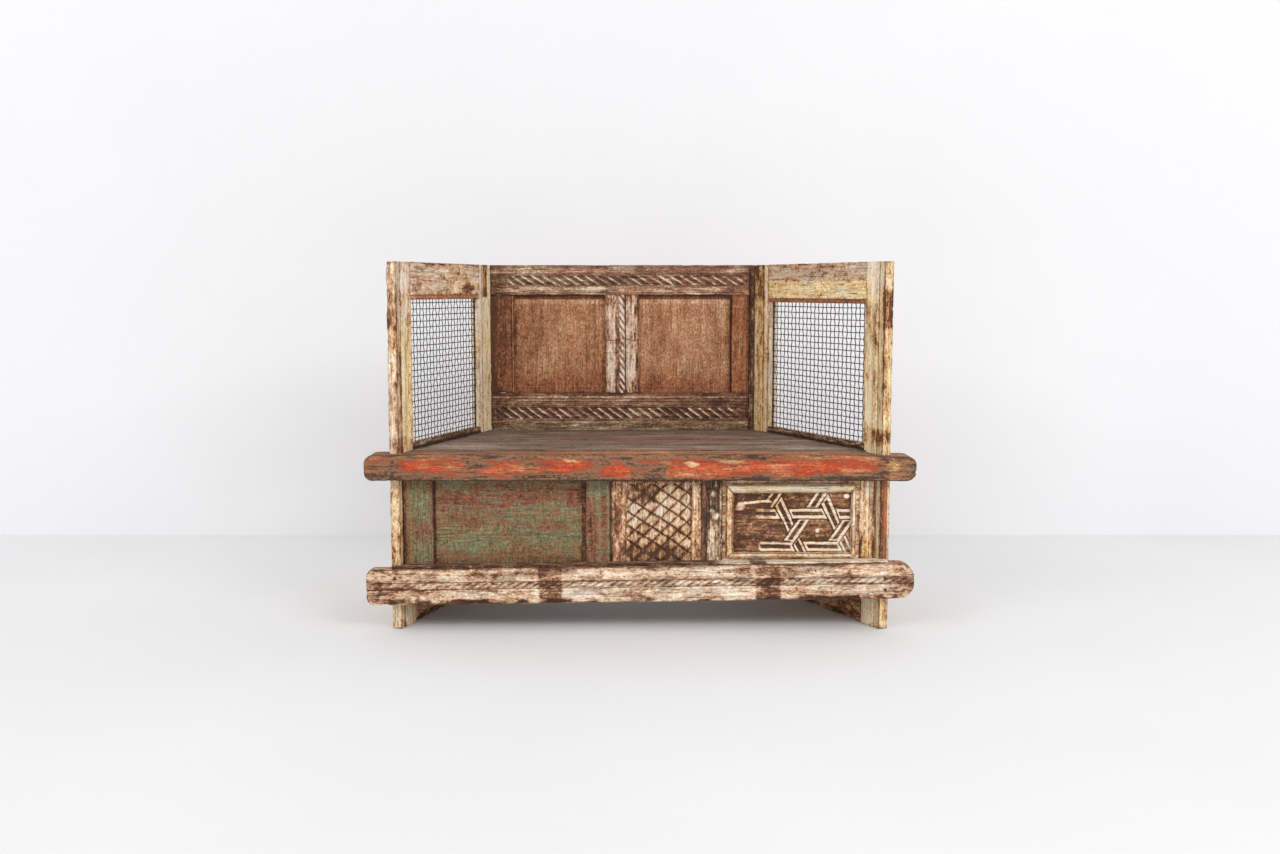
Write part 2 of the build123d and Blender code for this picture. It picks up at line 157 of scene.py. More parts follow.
def grooves(v, *rows):
    """Straight grooves side by side. Each row gives its place, its width and its depth."""
    return sum(groove(v - at, width, depth) for at, width, depth in rows)


def rope(u, v, half, period, lean, depth):
    """A carved rope along u: its depth and its crests. lean: how far a strand moves along over the rope's width."""
    phase = (u - lean * v / (2 * half)) / period
    phase = phase - np.floor(phase)
    strand = np.sin(np.pi * phase) ** 0.7
    inside = 1 - ramp(np.abs(v), half - 1.2, half + 0.3)
    return inside * (depth * (1 - strand) + 0.5 * depth * (v / half) ** 2), inside * strand


# ---- places


def in_row(p):
    """From the solids' coordinates to the row frame, in metres."""
    return (p + np.array([0, FRONT_PLANE, 0])) / 1000


def on_side(side):
    """Places a piece of a side frame: inwards from the outer face, back along the frame, up."""
    angle = SPLAY[side]
    turn = 1 if side == "left" else -1

    def place(p):
        x = -FRONT_WIDTH / 2 + p[:, 0] * np.cos(angle) + p[:, 1] * np.sin(angle)
        y = -p[:, 0] * np.sin(angle) + p[:, 1] * np.cos(angle)
        return in_row(np.stack([turn * x, y, p[:, 2]], 1))

    return place


def tilted(p):
    """Places a piece of the bottom rail, whose height is measured from the rail's middle."""
    c, s = np.cos(RAIL_TILT), np.sin(RAIL_TILT)
    x = p[:, 0] * c - p[:, 2] * s
    z = p[:, 0] * s + p[:, 2] * c
    return in_row(np.stack([x, p[:, 1], RAIL_MIDDLE + z], 1))


def side_end(side, t=0.0):
    """Length of a side frame from its front end to the rear of the back, at a depth of t in the frame."""
    return (DEPTH + THICK + t * np.sin(SPLAY[side])) / np.cos(SPLAY[side])


def opening(side):
    """Both ends of a side frame's opening, along the frame."""
    angle = SPLAY[side]
    return FRONT_POST, (DEPTH + THICK * np.sin(angle)) / np.cos(angle) - REAR_POST


def inner_x(side, y):
    """X of the inner face of a side frame at a depth."""
    angle = SPLAY[side]
    reach = FRONT_WIDTH / 2 - THICK / np.cos(angle) - y * np.tan(angle)
    return -reach if side == "left" else reach


def extent(node):
    """Lowest and highest value of a node along each axis, in the solids' coordinates."""
    low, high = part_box(node)
    return [(a * 1000 - shift, b * 1000 - shift) for a, b, shift in zip(low, high, (0, FRONT_PLANE, 0))]


# ---- boards


def grid_lines(low, high, step, edge, fine=()):
    """Values between two ends, closer at the ends and in the given stretches."""
    edge = min(edge, (high - low) / 3)
    count = max(1, int(round((high - low - 2 * edge) / step)))
    values = list(np.linspace(low + edge, high - edge, count + 1))
    for a, b, s in fine:
        a, b = max(a, low + edge), min(b, high - edge)
        if b > a:
            values = [v for v in values if v < a - 0.4 * s or v > b + 0.4 * s]
            values += list(np.linspace(a, b, max(2, int(round((b - a) / s)) + 1)))
    values += [low, low + 0.4 * edge, high - 0.4 * edge, high]
    return np.array(sorted(values))


def box_surface(lines):
    """Points and quads on the surface of a box that is cut by the lines on each axis."""
    counts = [len(v) for v in lines]
    keys, quads = [], []
    for axis in range(3):
        a, b = (axis + 1) % 3, (axis + 2) % 3
        for side in (0, 1):
            ia, ib = np.meshgrid(np.arange(counts[a]), np.arange(counts[b]), indexing="ij")
            index = [None] * 3
            index[axis] = np.full_like(ia, side * (counts[axis] - 1))
            index[a], index[b] = ia, ib
            key = (index[0] * counts[1] + index[1]) * counts[2] + index[2]
            corners = [key[:-1, :-1], key[1:, :-1], key[1:, 1:], key[:-1, 1:]]
            if side == 0:
                corners.reverse()
            keys.append(key.ravel())
            quads.append(np.stack([c.ravel() for c in corners], 1))
    unique, quads = np.unique(np.concatenate(quads).ravel(), return_inverse=True)
    quads = quads.reshape(-1, 4)
    k = unique % counts[2]
    j = unique // counts[2] % counts[1]
    i = unique // (counts[1] * counts[2])
    return np.stack([lines[0][i], lines[1][j], lines[2][k]], 1), quads


def board(size, grain=0, step=5.0, edge=2.2, dents=1.0, carve=None, coat=(0.5, 0.5), bend=None, fine=None,
          place=in_row, face=FORWARDS):
    """The mesh data of one worn board: points in metres, quads and the values its finish uses.

    size: lowest and highest value on each axis. grain: the axis of the wood fibres. step: the mesh's spacing.
    edge: roundness of the edges. dents: strength of dents and chips. carve(p) gives the depth of the carving, and where
    wanted its crests, made lighter as worn paint and as painted highlight, and how dark it becomes, as soiling and
    painted shade. coat, or coat(p, n), gives the paint that is left and its tone, 0 to 1.
    bend(p) moves points of the finished box, such as to slanted ends. fine: for an axis, stretches with a closer
    spacing. face: axis and sign of the carved face.
    """
    seed = next(seeds)
    low = np.array([s[0] for s in size], float)
    high = np.array([s[1] for s in size], float)
    fine = fine or {}
    points, quads = box_surface([grid_lines(low[i], high[i], step, edge, fine.get(i, ())) for i in range(3)])
    shift = np.array([seed * 31.7, seed * 57.3, seed * 83.1])
    seen = points + shift

    radius = edge * (0.55 + 0.9 * noise(seen, (23, 23, 23), seed))
    radius = np.minimum(radius, 0.45 * (high - low).min())[:, None]
    core = np.clip(points, low + radius, high - radius)
    out = points - core
    normal = out / np.linalg.norm(out, axis=1)[:, None]
    gaps = np.sort(np.minimum(points - low, high - points), axis=1)
    to_edge = gaps[:, 1]

    cells = [np.full(3, c) for c in (90.0, 22.0, 7.0)]
    for cell in cells:
        cell[grain] *= 3.5
    depth = sum(weight * noise(seen, cell, seed + i) for i, (weight, cell) in enumerate(zip((0.9, 0.5, 0.35), cells)))
    chips = ramp(layered(seen, (26, 14, 20), seed + 3), 0.56, 0.74) * np.exp(-to_edge / 5.0)
    depth = dents * (depth * np.clip(to_edge / 3.0, 0.3, 1) + 2.6 * chips)

    cut = np.clip(0.6 * chips, 0, 1)
    flat = crest = np.zeros(len(points))
    if carve is not None:
        axis, sign = face
        facing = ramp(sign * normal[:, axis], 0.55, 0.9)
        result = carve(points)
        carving, crests, *dirt_and_shade = result if isinstance(result, tuple) else (result, flat)
        crest = crests * facing
        depth = depth + carving * facing
        cut = np.maximum(cut, (dirt_and_shade[0] if dirt_and_shade else np.clip(carving / 2.5, 0, 1)) * facing)
    limit = 0.4 * (high - low).min()
    moved = core + normal * (radius - np.minimum(depth, limit + 3)[:, None])

    paint, tone = coat(points, normal) if callable(coat) else coat
    wear = np.exp(-to_edge / 3.5) * (0.5 + noise(seen, (30, 30, 30), seed + 5))

    if bend is not None:
        moved = bend(moved)
    middle = (low + high) / 2
    probe = place(np.array([middle, middle + [1, 0, 0], middle + [0, 1, 0], middle + [0, 0, 1]]))
    if np.linalg.det(probe[1:] - probe[0]) < 0:
        quads = quads[:, ::-1]
    order = [grain] + [i for i in range(3) if i != grain]
    values = {
        "grain": (points[:, order] + shift) / 1000,
        "coat": np.clip(paint + flat, 0, 1),
        "tone": np.clip(tone + flat, 0, 1),
        "cut": cut,
        "crest": np.clip(crest, 0, 1),
        "wear": np.clip(wear, 0, 1),
    }
    return place(moved), quads, values


def make(name, parts, skin, slot, nodes):
    """One object from the mesh data of one or more boards."""
    points = np.concatenate([p[0] for p in parts])
    starts = np.cumsum([0] + [len(p[0]) for p in parts[:-1]])
    quads = np.concatenate([p[1] + s for p, s in zip(parts, starts)])
    mesh = bpy.data.meshes.new(name)
    mesh.vertices.add(len(points))
    mesh.vertices.foreach_set("co", points.astype(np.float32).ravel())
    mesh.loops.add(quads.size)
    mesh.loops.foreach_set("vertex_index", quads.astype(np.int32).ravel())
    mesh.polygons.add(len(quads))
    mesh.polygons.foreach_set("loop_start", np.arange(0, quads.size, 4, dtype=np.int32))
    mesh.polygons.foreach_set("use_smooth", np.ones(len(quads), bool))
    for key in parts[0][2]:
        data = np.concatenate([p[2][key] for p in parts]).astype(np.float32)
        if data.ndim == 2:
            mesh.attributes.new(key, "FLOAT_VECTOR", "POINT").data.foreach_set("vector", data.ravel())
        else:
            mesh.attributes.new(key, "FLOAT", "POINT").data.foreach_set("value", data)
    mesh.update(calc_edges=True)
    mesh.validate()
    mesh.materials.append(skin)
    piece = bpy.data.objects.new(name, mesh)
    bpy.context.scene.collection.objects.link(piece)
    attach(piece, "root")
    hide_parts(*nodes)
    return piece


def wire(path, radius):
    """The mesh data of one six-sided wire along a path in metres."""
    sides = 6
    along = np.gradient(path, axis=0)
    along /= np.linalg.norm(along, axis=1)[:, None]
    first = np.cross(along, (0.31, 0.83, 0.47))
    first /= np.linalg.norm(first, axis=1)[:, None]
    second = np.cross(along, first)
    turns = np.arange(sides) * 2 * np.pi / sides
    ring = np.cos(turns)[:, None] * first[:, None] + np.sin(turns)[:, None] * second[:, None]
    points = path[:, None] + radius * ring
    count = len(path)
    i, j = np.meshgrid(np.arange(count - 1), np.arange(sides), indexing="ij")
    k = (j + 1) % sides
    quads = np.stack([i * sides + j, (i + 1) * sides + j, (i + 1) * sides + k, i * sides + k], -1).reshape(-1, 4)
    last = (count - 1) * sides
    caps = [[0, 1, 2, 3], [0, 3, 4, 5], [last + 3, last + 2, last + 1, last], [last + 5, last + 4, last + 3, last]]
    points = points.reshape(-1, 3)
    return points, np.concatenate([quads, caps]), {"grain": points.copy()}


# ---- finishes


def shade(r, g, b):
    """A colour given as seen on a screen, 0 to 255."""
    c = np.array([r, g, b]) / 255
    return tuple(np.where(c < 0.04045, c / 12.92, ((c + 0.055) / 1.055) ** 2.4)) + (1.0,)


class Graph:
    """Short calls that build a material's nodes."""

    def __init__(self, name):
        self.material = bpy.data.materials.new(name)
        self.material.use_nodes = True
        self.tree = self.material.node_tree
        self.shader = self.tree.nodes["Principled BSDF"]

    def set(self, socket, value):
        if isinstance(value, bpy.types.NodeSocket):
            self.tree.links.new(value, socket)
        else:
            socket.default_value = value

    def node(self, kind, out, settings=(), **inputs):
        n = self.tree.nodes.new(kind)
        for key, value in dict(settings).items():
            setattr(n, key, value)
        for key, value in inputs.items():
            self.set(n.inputs[int(key[1:]) if key[1:].isdigit() else key], value)
        return n.outputs[out]

    def value(self, name, out="Fac"):
        return self.node("ShaderNodeAttribute", out, {"attribute_name": name})

    def math(self, op, a, b=0.0, clamp=False):
        return self.node("ShaderNodeMath", 0, {"operation": op, "use_clamp": clamp}, i0=a, i1=b)

    def add(self, *terms):
        total = None
        for weight, socket in terms:
            part = self.math("MULTIPLY", socket, weight)
            total = part if total is None else self.math("ADD", total, part)
        return total

    def scaled(self, vector, scale):
        return self.node("ShaderNodeVectorMath", 0, {"operation": "MULTIPLY"}, i0=vector, i1=scale)

    def noise(self, vector, scale, detail=3.0, rough=0.6, distortion=0.0):
        v = self.scaled(vector, scale)
        return self.node("ShaderNodeTexNoise", "Fac", Vector=v, Scale=1.0, Detail=detail, Roughness=rough,
                         Distortion=distortion)

    def range(self, value, low, high, to=(0.0, 1.0)):
        settings = {"interpolation_type": "SMOOTHSTEP"}
        return self.node("ShaderNodeMapRange", 0, settings, i0=value, i1=low, i2=high, i3=to[0], i4=to[1])

    def mix(self, fac, a, b, blend="MIX"):
        n = self.tree.nodes.new("ShaderNodeMix")
        n.data_type = "RGBA"
        n.blend_type = blend
        self.set(n.inputs[0], fac)
        self.set(n.inputs[6], a)
        self.set(n.inputs[7], b)
        return n.outputs[2]

    def ramp(self, fac, *stops):
        n = self.tree.nodes.new("ShaderNodeValToRGB")
        elements = n.color_ramp.elements
        while len(elements) < len(stops):
            elements.new(0.5)
        for element, (at, color) in zip(elements, stops):
            element.position = at
            element.color = color
        self.set(n.inputs[0], fac)
        return n.outputs[0]


def palette(*stops):
    """The stops of a colour ramp, from bare wood at 0 to thick paint at 1."""
    return [(at, shade(*color)) for at, *color in stops]


def old_wood(name, first, second, marks=(32, 70), mottle=2.2, streaky=1.2, fine=1.0, grime_and_shade=0.7, crackle=0.0,
             rough=(0.82, 0.6), clouds=0.9):
    """Old boards under worn paint.

    first, second: palettes where tone is 0 and 1. marks: worn marks per metre along and across the grain. mottle,
    streaky and fine: how strongly marks, streaks along the grain and small specks change the paint. grime: how dark
    the carving's hollows become, as soiling and as painted shade. crackle: fine cracks across the grain. rough:
    roughness bare and painted. clouds: broad changes of paint.
    """
    g = Graph(name)
    grain = g.value("grain", "Vector")
    coat, tone, cut, crest, wear = (g.value(key) for key in ("coat", "tone", "cut", "crest", "wear"))
    fibre = g.noise(grain, (16, 520, 520), 3, 0.65)
    streak = g.noise(grain, (6, 95, 95), 5, 0.66, 0.6)
    lines = g.noise(grain, (3.6, 130, 130), 3, 0.6, 0.8)
    cloud = g.noise(grain, (8, 17, 17), 4, 0.6)
    blotch = g.noise(grain, (marks[0], marks[1], marks[1]), 6, 0.75, 0.5)
    speck = g.noise(grain, (150, 260, 260), 3, 0.65)

    noisy = g.add((mottle, blotch), (streaky, streak), (fine, speck), (0.6 * fine, fibre))
    # Raised crests of the carving are made lighter, as paint left on them and as a painted highlight; chips and hollows
    # darker.
    level = g.add((1.0, coat), (1.0, noisy), (-0.3, wear), (0.3, crest), (-0.25, cut))
    level = g.math("SUBTRACT", g.add((1.0, level), (clouds, cloud)), 0.5 * (mottle + streaky + 1.6 * fine + clouds))
    kind = g.math("ADD", tone, g.math("MULTIPLY", g.math("SUBTRACT", cloud, 0.5), 1.8), clamp=True)
    color = g.mix(kind, g.ramp(level, *first), g.ramp(level, *second))
    dust = g.range(g.add((0.6, speck), (0.4, lines)), 0.36, 0.62, (0.82, 1.12))
    color = g.mix(1.0, color, g.node("ShaderNodeCombineColor", 0, i0=dust, i1=dust, i2=dust), "MULTIPLY")

    away = g.math("ABSOLUTE", g.math("SUBTRACT", lines, 0.5))
    crack = g.math("MULTIPLY", g.range(away, 0.003, 0.015, (1.0, 0.0)), g.range(cloud, 0.4, 0.56))
    if crackle:
        across = g.noise(grain, (150, 30, 30), 3, 0.6, 1.2)
        net = g.range(g.math("ABSOLUTE", g.math("SUBTRACT", across, 0.5)), 0.004, 0.03, (crackle, 0.0))
        crack = g.math("MAXIMUM", crack, g.math("MULTIPLY", net, g.range(blotch, 0.42, 0.52)))
    # Cracks, chips and the carving's hollows are darkened; in the hollows this is soiling and painted shade.
    dark = g.math("MAXIMUM", g.math("MULTIPLY", crack, 0.8), g.math("MULTIPLY", cut, grime_and_shade), clamp=True)
    color = g.mix(dark, color, shade(62, 42, 30))

    cells = g.node("ShaderNodeTexVoronoi", "Distance", Vector=g.scaled(grain, (70, 70, 70)), Scale=1.0)
    pick = g.noise(grain, (31, 31, 31), 1)
    hole = g.math("MULTIPLY", g.range(cells, 0.08, 0.13, (1.0, 0.0)), g.range(pick, 0.55, 0.57))
    color = g.mix(hole, color, shade(30, 19, 13))
    g.set(g.shader.inputs["Base Color"], color)

    painted = g.range(level, 0.38, 0.46)
    g.set(g.shader.inputs["Roughness"], g.add((1.0, g.range(painted, 0.0, 1.0, rough)), (0.12, speck)))
    g.shader.inputs["Specular IOR Level"].default_value = 0.35
    thick = g.range(level, 0.58, 0.64)
    height = g.add((0.4, painted), (0.3, thick), (0.5, fibre), (0.4, streak), (-0.9, crack), (-1.2, hole))
    g.set(g.shader.inputs["Normal"], g.node("ShaderNodeBump", 0, Strength=0.8, Distance=0.0011, Height=height))
    return g.material


def old_iron(name, dark, rust, amount):
    """Iron with rust in patches."""
    g = Graph(name)
    grain = g.value("grain", "Vector")
    patches = g.noise(grain, (160, 160, 160), 5, 0.7)
    fine = g.noise(grain, (900, 900, 900), 2)
    color = g.mix(g.range(patches, 0.62 - amount, 0.7 - 0.6 * amount), dark, rust)
    g.set(g.shader.inputs["Base Color"], g.mix(g.range(fine, 0.5, 0.75, (0.0, 0.5)), color, shade(24, 20, 20)))
    g.shader.inputs["Metallic"].default_value = 0.35
    g.set(g.shader.inputs["Roughness"], g.range(patches, 0.35, 0.7, (0.5, 0.8)))
    height = g.add((1.0, fine), (1.0, patches))
    g.set(g.shader.inputs["Normal"], g.node("ShaderNodeBump", 0, Strength=0.5, Distance=0.0004, Height=height))
    return g.material


YELLOW_CREAM = palette(
    (0.0, 92, 54, 30), (0.14, 132, 84, 48), (0.28, 172, 120, 72), (0.36, 206, 154, 98), (0.5, 228, 184, 126),
    (0.64, 240, 206, 150), (0.85, 248, 222, 172), (1.0, 252, 234, 194))
PINK_CREAM = palette(
    (0.0, 92, 56, 38), (0.14, 132, 88, 62), (0.28, 174, 124, 94), (0.36, 204, 156, 122), (0.5, 222, 182, 148),
    (0.64, 234, 204, 174), (0.85, 240, 218, 196), (1.0, 246, 232, 216))
cream = old_wood("cream_over_brown", YELLOW_CREAM, PINK_CREAM)
pale = old_wood(
    "pale_cream",
    palette((0.0, 96, 64, 46), (0.16, 140, 100, 74), (0.28, 166, 124, 94), (0.36, 202, 160, 126), (0.5, 222, 186, 152),
            (0.64, 238, 210, 178), (0.85, 246, 226, 198), (1.0, 250, 238, 220)),
    PINK_CREAM, marks=(26, 60))
red = old_wood(
    "orange_red",
    palette((0.0, 76, 56, 44), (0.2, 118, 88, 66), (0.36, 150, 112, 86), (0.44, 156, 106, 78), (0.52, 160, 78, 48),
            (0.64, 174, 66, 34), (0.8, 184, 70, 34), (1.0, 200, 96, 52)),
    palette((0.0, 84, 58, 44), (0.2, 130, 94, 66), (0.4, 162, 120, 84), (0.46, 184, 132, 88), (0.62, 212, 164, 112),
            (0.8, 232, 196, 136), (1.0, 240, 216, 170)),
    marks=(18, 80), mottle=1.7, streaky=1.4, grime_and_shade=0.5, clouds=0.6)
green = old_wood(
    "grey_green",
    palette((0.0, 84, 58, 40), (0.2, 124, 88, 60), (0.36, 148, 108, 76), (0.45, 144, 116, 80), (0.54, 138, 122, 84),
            (0.7, 136, 130, 90), (0.85, 136, 139, 100), (1.0, 148, 156, 122)),
    palette((0.0, 84, 54, 38), (0.2, 130, 82, 60), (0.36, 162, 96, 72), (0.45, 156, 108, 80), (0.54, 146, 120, 88),
            (0.7, 136, 130, 92), (0.85, 134, 140, 104), (1.0, 146, 158, 124)),
    marks=(44, 60), mottle=1.6, streaky=0.6, crackle=1.0)
brown = old_wood(
    "red_brown",
    palette((0.0, 74, 46, 34), (0.2, 118, 78, 58), (0.4, 158, 110, 84), (0.56, 182, 138, 110), (0.66, 200, 164, 136),
            (0.82, 222, 196, 166), (1.0, 236, 218, 194)),
    palette((0.0, 74, 52, 36), (0.2, 114, 86, 60), (0.4, 146, 116, 82), (0.56, 166, 140, 108), (0.66, 188, 164, 134),
            (0.82, 214, 192, 162), (1.0, 234, 216, 192)),
    marks=(24, 70), mottle=1.8, grime_and_shade=0.35, rough=(0.62, 0.7))
panel = old_wood(
    "orange_brown",
    palette((0.0, 92, 54, 30), (0.2, 142, 88, 54), (0.4, 184, 126, 86), (0.58, 206, 152, 114), (0.75, 222, 180, 144),
            (1.0, 236, 206, 176)),
    palette((0.0, 92, 50, 30), (0.2, 142, 80, 48), (0.4, 180, 112, 74), (0.58, 202, 142, 102), (0.75, 216, 166, 132),
            (1.0, 232, 196, 168)),
    marks=(60, 60), mottle=1.2, streaky=0.5, crackle=0.5, grime_and_shade=0.5, rough=(0.6, 0.7))
carved = old_wood(
    "carved_cream",
    palette((0.0, 88, 58, 38), (0.2, 138, 98, 68), (0.36, 184, 132, 92), (0.46, 212, 160, 114), (0.6, 234, 190, 142),
            (0.72, 242, 210, 170), (1.0, 246, 230, 204)),
    palette((0.0, 86, 56, 38), (0.2, 136, 94, 68), (0.36, 182, 126, 92), (0.46, 212, 156, 118), (0.6, 230, 184, 146),
            (0.72, 234, 208, 184), (1.0, 246, 232, 216)),
    marks=(45, 70), mottle=1.9, grime_and_shade=0.8)
gloomy = old_wood(
    "dark_brown",
    palette((0.0, 60, 46, 36), (0.2, 98, 76, 60), (0.4, 128, 104, 84), (0.5, 150, 124, 100), (0.58, 196, 170, 140),
            (0.75, 218, 198, 168), (1.0, 238, 226, 206)),
    palette((0.0, 66, 44, 32), (0.2, 110, 74, 54), (0.4, 146, 104, 78), (0.5, 168, 130, 100), (0.58, 202, 168, 134),
            (0.75, 224, 198, 164), (1.0, 238, 226, 206)),
    marks=(30, 80), grime_and_shade=0.5)
grey = old_wood(
    "grey_brown",
    palette((0.0, 68, 56, 48), (0.3, 112, 96, 82), (0.5, 138, 118, 100), (0.7, 160, 140, 122), (1.0, 188, 172, 154)),
    palette((0.0, 72, 44, 34), (0.3, 118, 74, 58), (0.5, 148, 102, 82), (0.7, 160, 124, 104), (1.0, 182, 152, 130)),
    marks=(9, 60), mottle=1.5, streaky=1.8, grime_and_shade=0.5, rough=(0.72, 0.7))
whitish = old_wood(
    "whitish",
    palette((0.0, 98, 66, 50), (0.18, 142, 102, 80), (0.34, 176, 134, 110), (0.44, 200, 164, 140),
            (0.58, 220, 190, 168), (0.8, 236, 216, 200), (1.0, 246, 234, 222)),
    PINK_CREAM, marks=(20, 90), grime_and_shade=0.5)
wires = old_iron("dark_wire", shade(32, 29, 31), shade(64, 48, 40), 0.1)
iron = old_iron("rusted_nails", shade(72, 56, 46), shade(108, 72, 50), 0.3)

USUAL_SLOT = {
    "cream_over_brown": "cream_paint", "pale_cream": "pale_paint", "orange_red": "red_paint",
    "grey_green": "green_paint", "red_brown": "brown_wood", "orange_brown": "brown_wood", "whitish": "brown_wood",
    "carved_cream": "carved_wood", "dark_brown": "dark_wood", "grey_brown": "grey_wood",
}


# ---- side frames

LAP = 1.2  # by which a board runs into its neighbour


def fit(node, skin, size, *args, word="worn", slot=None, **looks):
    """One board in the place of one node. Its slot, the usual one of its finish unless another is given, is not used.
    """
    make(f"{node}_{word}", [board(size, *args, **looks)], skin, slot or USUAL_SLOT[skin.name], [node])


def side_frame(side):
    """The boards, beads and mesh of one side frame. Points are (t, s, z): inwards, back along the frame, up."""
    place = on_side(side)
    near, far = opening(side)
    low_top = HEIGHT - TOP_RAIL[side]
    is_left = side == "left"
    whole_depth, between_posts = (0, THICK), (near - LAP, far + LAP)

    def fit_here(name, skin, size, *args, **looks):
        fit(f"{side}_{name}", skin, size, *args, place=place, face=INWARDS, **looks)

    def front_post_cut(p):
        _, s, z = p.T
        return groove(s - 24, 3.4, 2.6) + 0.8 * (s < 24) + groove(s - 44, 2.0, 1.2) * band(z, 430, 700, 40)

    def front_post_coat(p, n):
        t, s, z = p.T
        end = 1 - ramp(s, 3, 16)
        inner = n[:, 0] > 0.5
        if is_left:
            paint = 0.76 + 0.12 * ramp(s, 22, 26) * (z < 700) - 0.3 * inner * band(s, -2, 4, 1) * (z > 560)
            paint += patches(
                p, (40, 425, 40, 22, -0.34), (54, 650, 9, 80, -0.3), (60, 790, 18, 40, -0.1), (14, 600, 7, 40, -0.24),
                (24, 780, 16, 30, -0.2), (30, 330, 10, 60, -0.12), (8, 250, 8, 60, 0.1), axes=ALONG_UP)
            paint -= end * (0.14 + 0.3 * band(z, 694, 772, 4)) + 0.4 * band(s, 16, 22, 1) * (z < 640)
            tone = 0.7 - 0.66 * ramp(s, 20, 28) * band(z, 415, 710, 10) - 0.3 * (z < 350) + 0.2 * (n[:, 0] < -0.5)
            return paint, tone
        paint = 0.89 + 0.12 * band(s, 50, 73, 3) * (z < 660) + 0.06 * ramp(z, 770, 800)
        paint += patches(
            p, (36, 745, 60, 46, -0.2), (44, 706, 24, 50, -0.4), (34, 600, 7, 100, -0.36), (20, 520, 8, 90, -0.2),
            (62, 585, 8, 12, -0.36), (40, 446, 44, 24, -0.5), (8, 480, 6, 30, 0.1), (30, 250, 30, 60, -0.1),
            axes=ALONG_UP)
        paint -= 0.26 * inner * band(s, -2, 3, 1)
        paint -= end * (0.28 + 0.3 * band(z, 694, 780, 4) + 0.3 * band(z, 120, 350, 2) * ramp(t, 17, 19))
        return paint, 0.02 + 0.6 * ramp(z, 765, 790) + 0.3 * (z < 350) + 0.3 * band(s, 28, 46, 3)

    fit_here("front_post", cream, (whole_depth, (0, near), (0, HEIGHT)), 2, 5, 2.4, 1.2, front_post_cut,
             front_post_coat, fine={1: [(20, 28, 0.9)], 0: [(0, THICK, 3)]})

    def rear_bend(p):
        end = side_end(side)
        share = np.clip((p[:, 1] - far) / (end - far), 0, 1)
        p[:, 1] += share * (side_end(side, p[:, 0]) - end)
        return p

    def rear_coat(p, n):
        s, z = p[:, 1] - far, p[:, 2]
        if is_left:
            paint = 1.0 - 0.7 * band(s, 12, 16, 0.8) - 0.84 * ramp(z, 758, 766) * band(s, 18, 47, 1.5)
            paint += patches(
                p, (14, 450, 50, 30, -0.24), (51, 550, 4, 22, -0.6), (30, 520, 20, 30, -0.1), axes=ALONG_UP, start=far)
            return paint - 0.4 * ramp(z, 700, 740) * band(s, 52, 56, 1), 0.9 * band(s, -5, 12)
        high = ramp(z, 748, 760)
        paint = 0.6 + 0.22 * band(s, 5, 14, 1) - 0.3 * band(s, 19, 23, 0.8) - 0.4 * high * ramp(s, 18, 22)
        paint += patches(p, (40, 640, 7, 90, -0.3), (52, 560, 5, 100, 0.14), axes=ALONG_UP, start=far)
        return paint, 0.4 * band(s, -5, 16) + 0.3 * high

    scribed_at = far + (14 if is_left else 21)
    fit_here("rear_post", cream, (whole_depth, (far, side_end(side)), (0, HEIGHT)), 2, 5, 2.2, 1.0,
             lambda p: groove(p[:, 1] - scribed_at, 2.8, 2.0), rear_coat, rear_bend, {1: [(far + 5, far + 25, 1.0)]})

    split_at = 804

    def top_coat(p, n):
        _, s, z = p.T
        if is_left:
            paint = 0.6 - 0.14 * band(z, 832, 850, 4)
            paint += patches(
                p, (395, 786, 30, 17, -0.44), (330, 790, 45, 18, 0.18), (140, 815, 60, 24, -0.08),
                (110, 790, 22, 26, -0.16), axes=ALONG_UP)
            return paint, 0.85
        split = split_at + 3 * np.sin(s / 30)
        paint = 0.62 + 0.16 * (z < split)
        paint += patches(p, (110, 825, 50, 22, 0.08), (300, 806, 12, 16, -0.2), (240, 838, 150, 9, -0.1), axes=ALONG_UP)
        return paint, 0.9 * ramp(z, split - 3, split + 3)

    fit_here("wing_top_rail", cream, (whole_depth, between_posts, (low_top, HEIGHT)), 1, 4, 2.2, 1.1,
             lambda p: 0.6 * (p[:, 2] > split_at) * (not is_left), top_coat)
    # The sill is painted nearly black except on its outer face: a painted shadow line at the foot of the mesh, above
    # the seat.
    fit_here("wing_sill", gloomy, (whole_depth, between_posts, SILL), 1, 5, 2.2, 1.0, slot="cream_paint",
             coat=lambda p, n: (0.08 + 0.42 * (n[:, 0] < -0.5), 0.8))
    # Its inner face, under the seat, is painted darker as painted shade; its lowest 60 mm are darker too.
    fit_here("side_board", cream, (SIDE_BOARD, between_posts, (0, SILL[0] + LAP)), 1, 7, 2.0, 1.2,
             coat=lambda p, n: (0.54 - 0.12 * (n[:, 0] > 0.3) - 0.1 * (p[:, 2] < 60), 0.4))

    along, upright = (near - 1, far + 1), (SILL[1] + BEAD - 1, low_top - BEAD + 1)
    inner_t, outer_t = (LEVEL_AT + WIRE, THICK - 1.5), (1.5, LEVEL_AT - 3 * WIRE)
    beads = {
        "top_bead": (along, (low_top - BEAD, low_top + 1), 1, panel, 0.62 if is_left else 0.42),
        "bottom_bead": (along, (SILL[1] - 1, SILL[1] + BEAD), 1, gloomy, 0.46),
        "front_bead": ((near - 1, near + UPRIGHT_BEAD), upright, 2, cream, 0.75),
        "rear_bead": ((far - UPRIGHT_BEAD, far + 1), upright, 2, cream, 1.0),
    }
    outer = []
    for name, (s_range, z_range, grain, skin, level) in beads.items():
        fit_here(name, skin, (inner_t, s_range, z_range), grain, 4, 1.2, 0.45, coat=(level, 0.6),
                 slot="brown_wood" if name == "top_bead" else "cream_paint")
        outer.append(board((outer_t, s_range, z_range), grain, 4, 1.2, 0.45, coat=(1.0, 0.9), place=place))
    make(f"{side}_outer_beads_worn", outer, cream, "cream_paint", [f"{side}_outer_beads"])

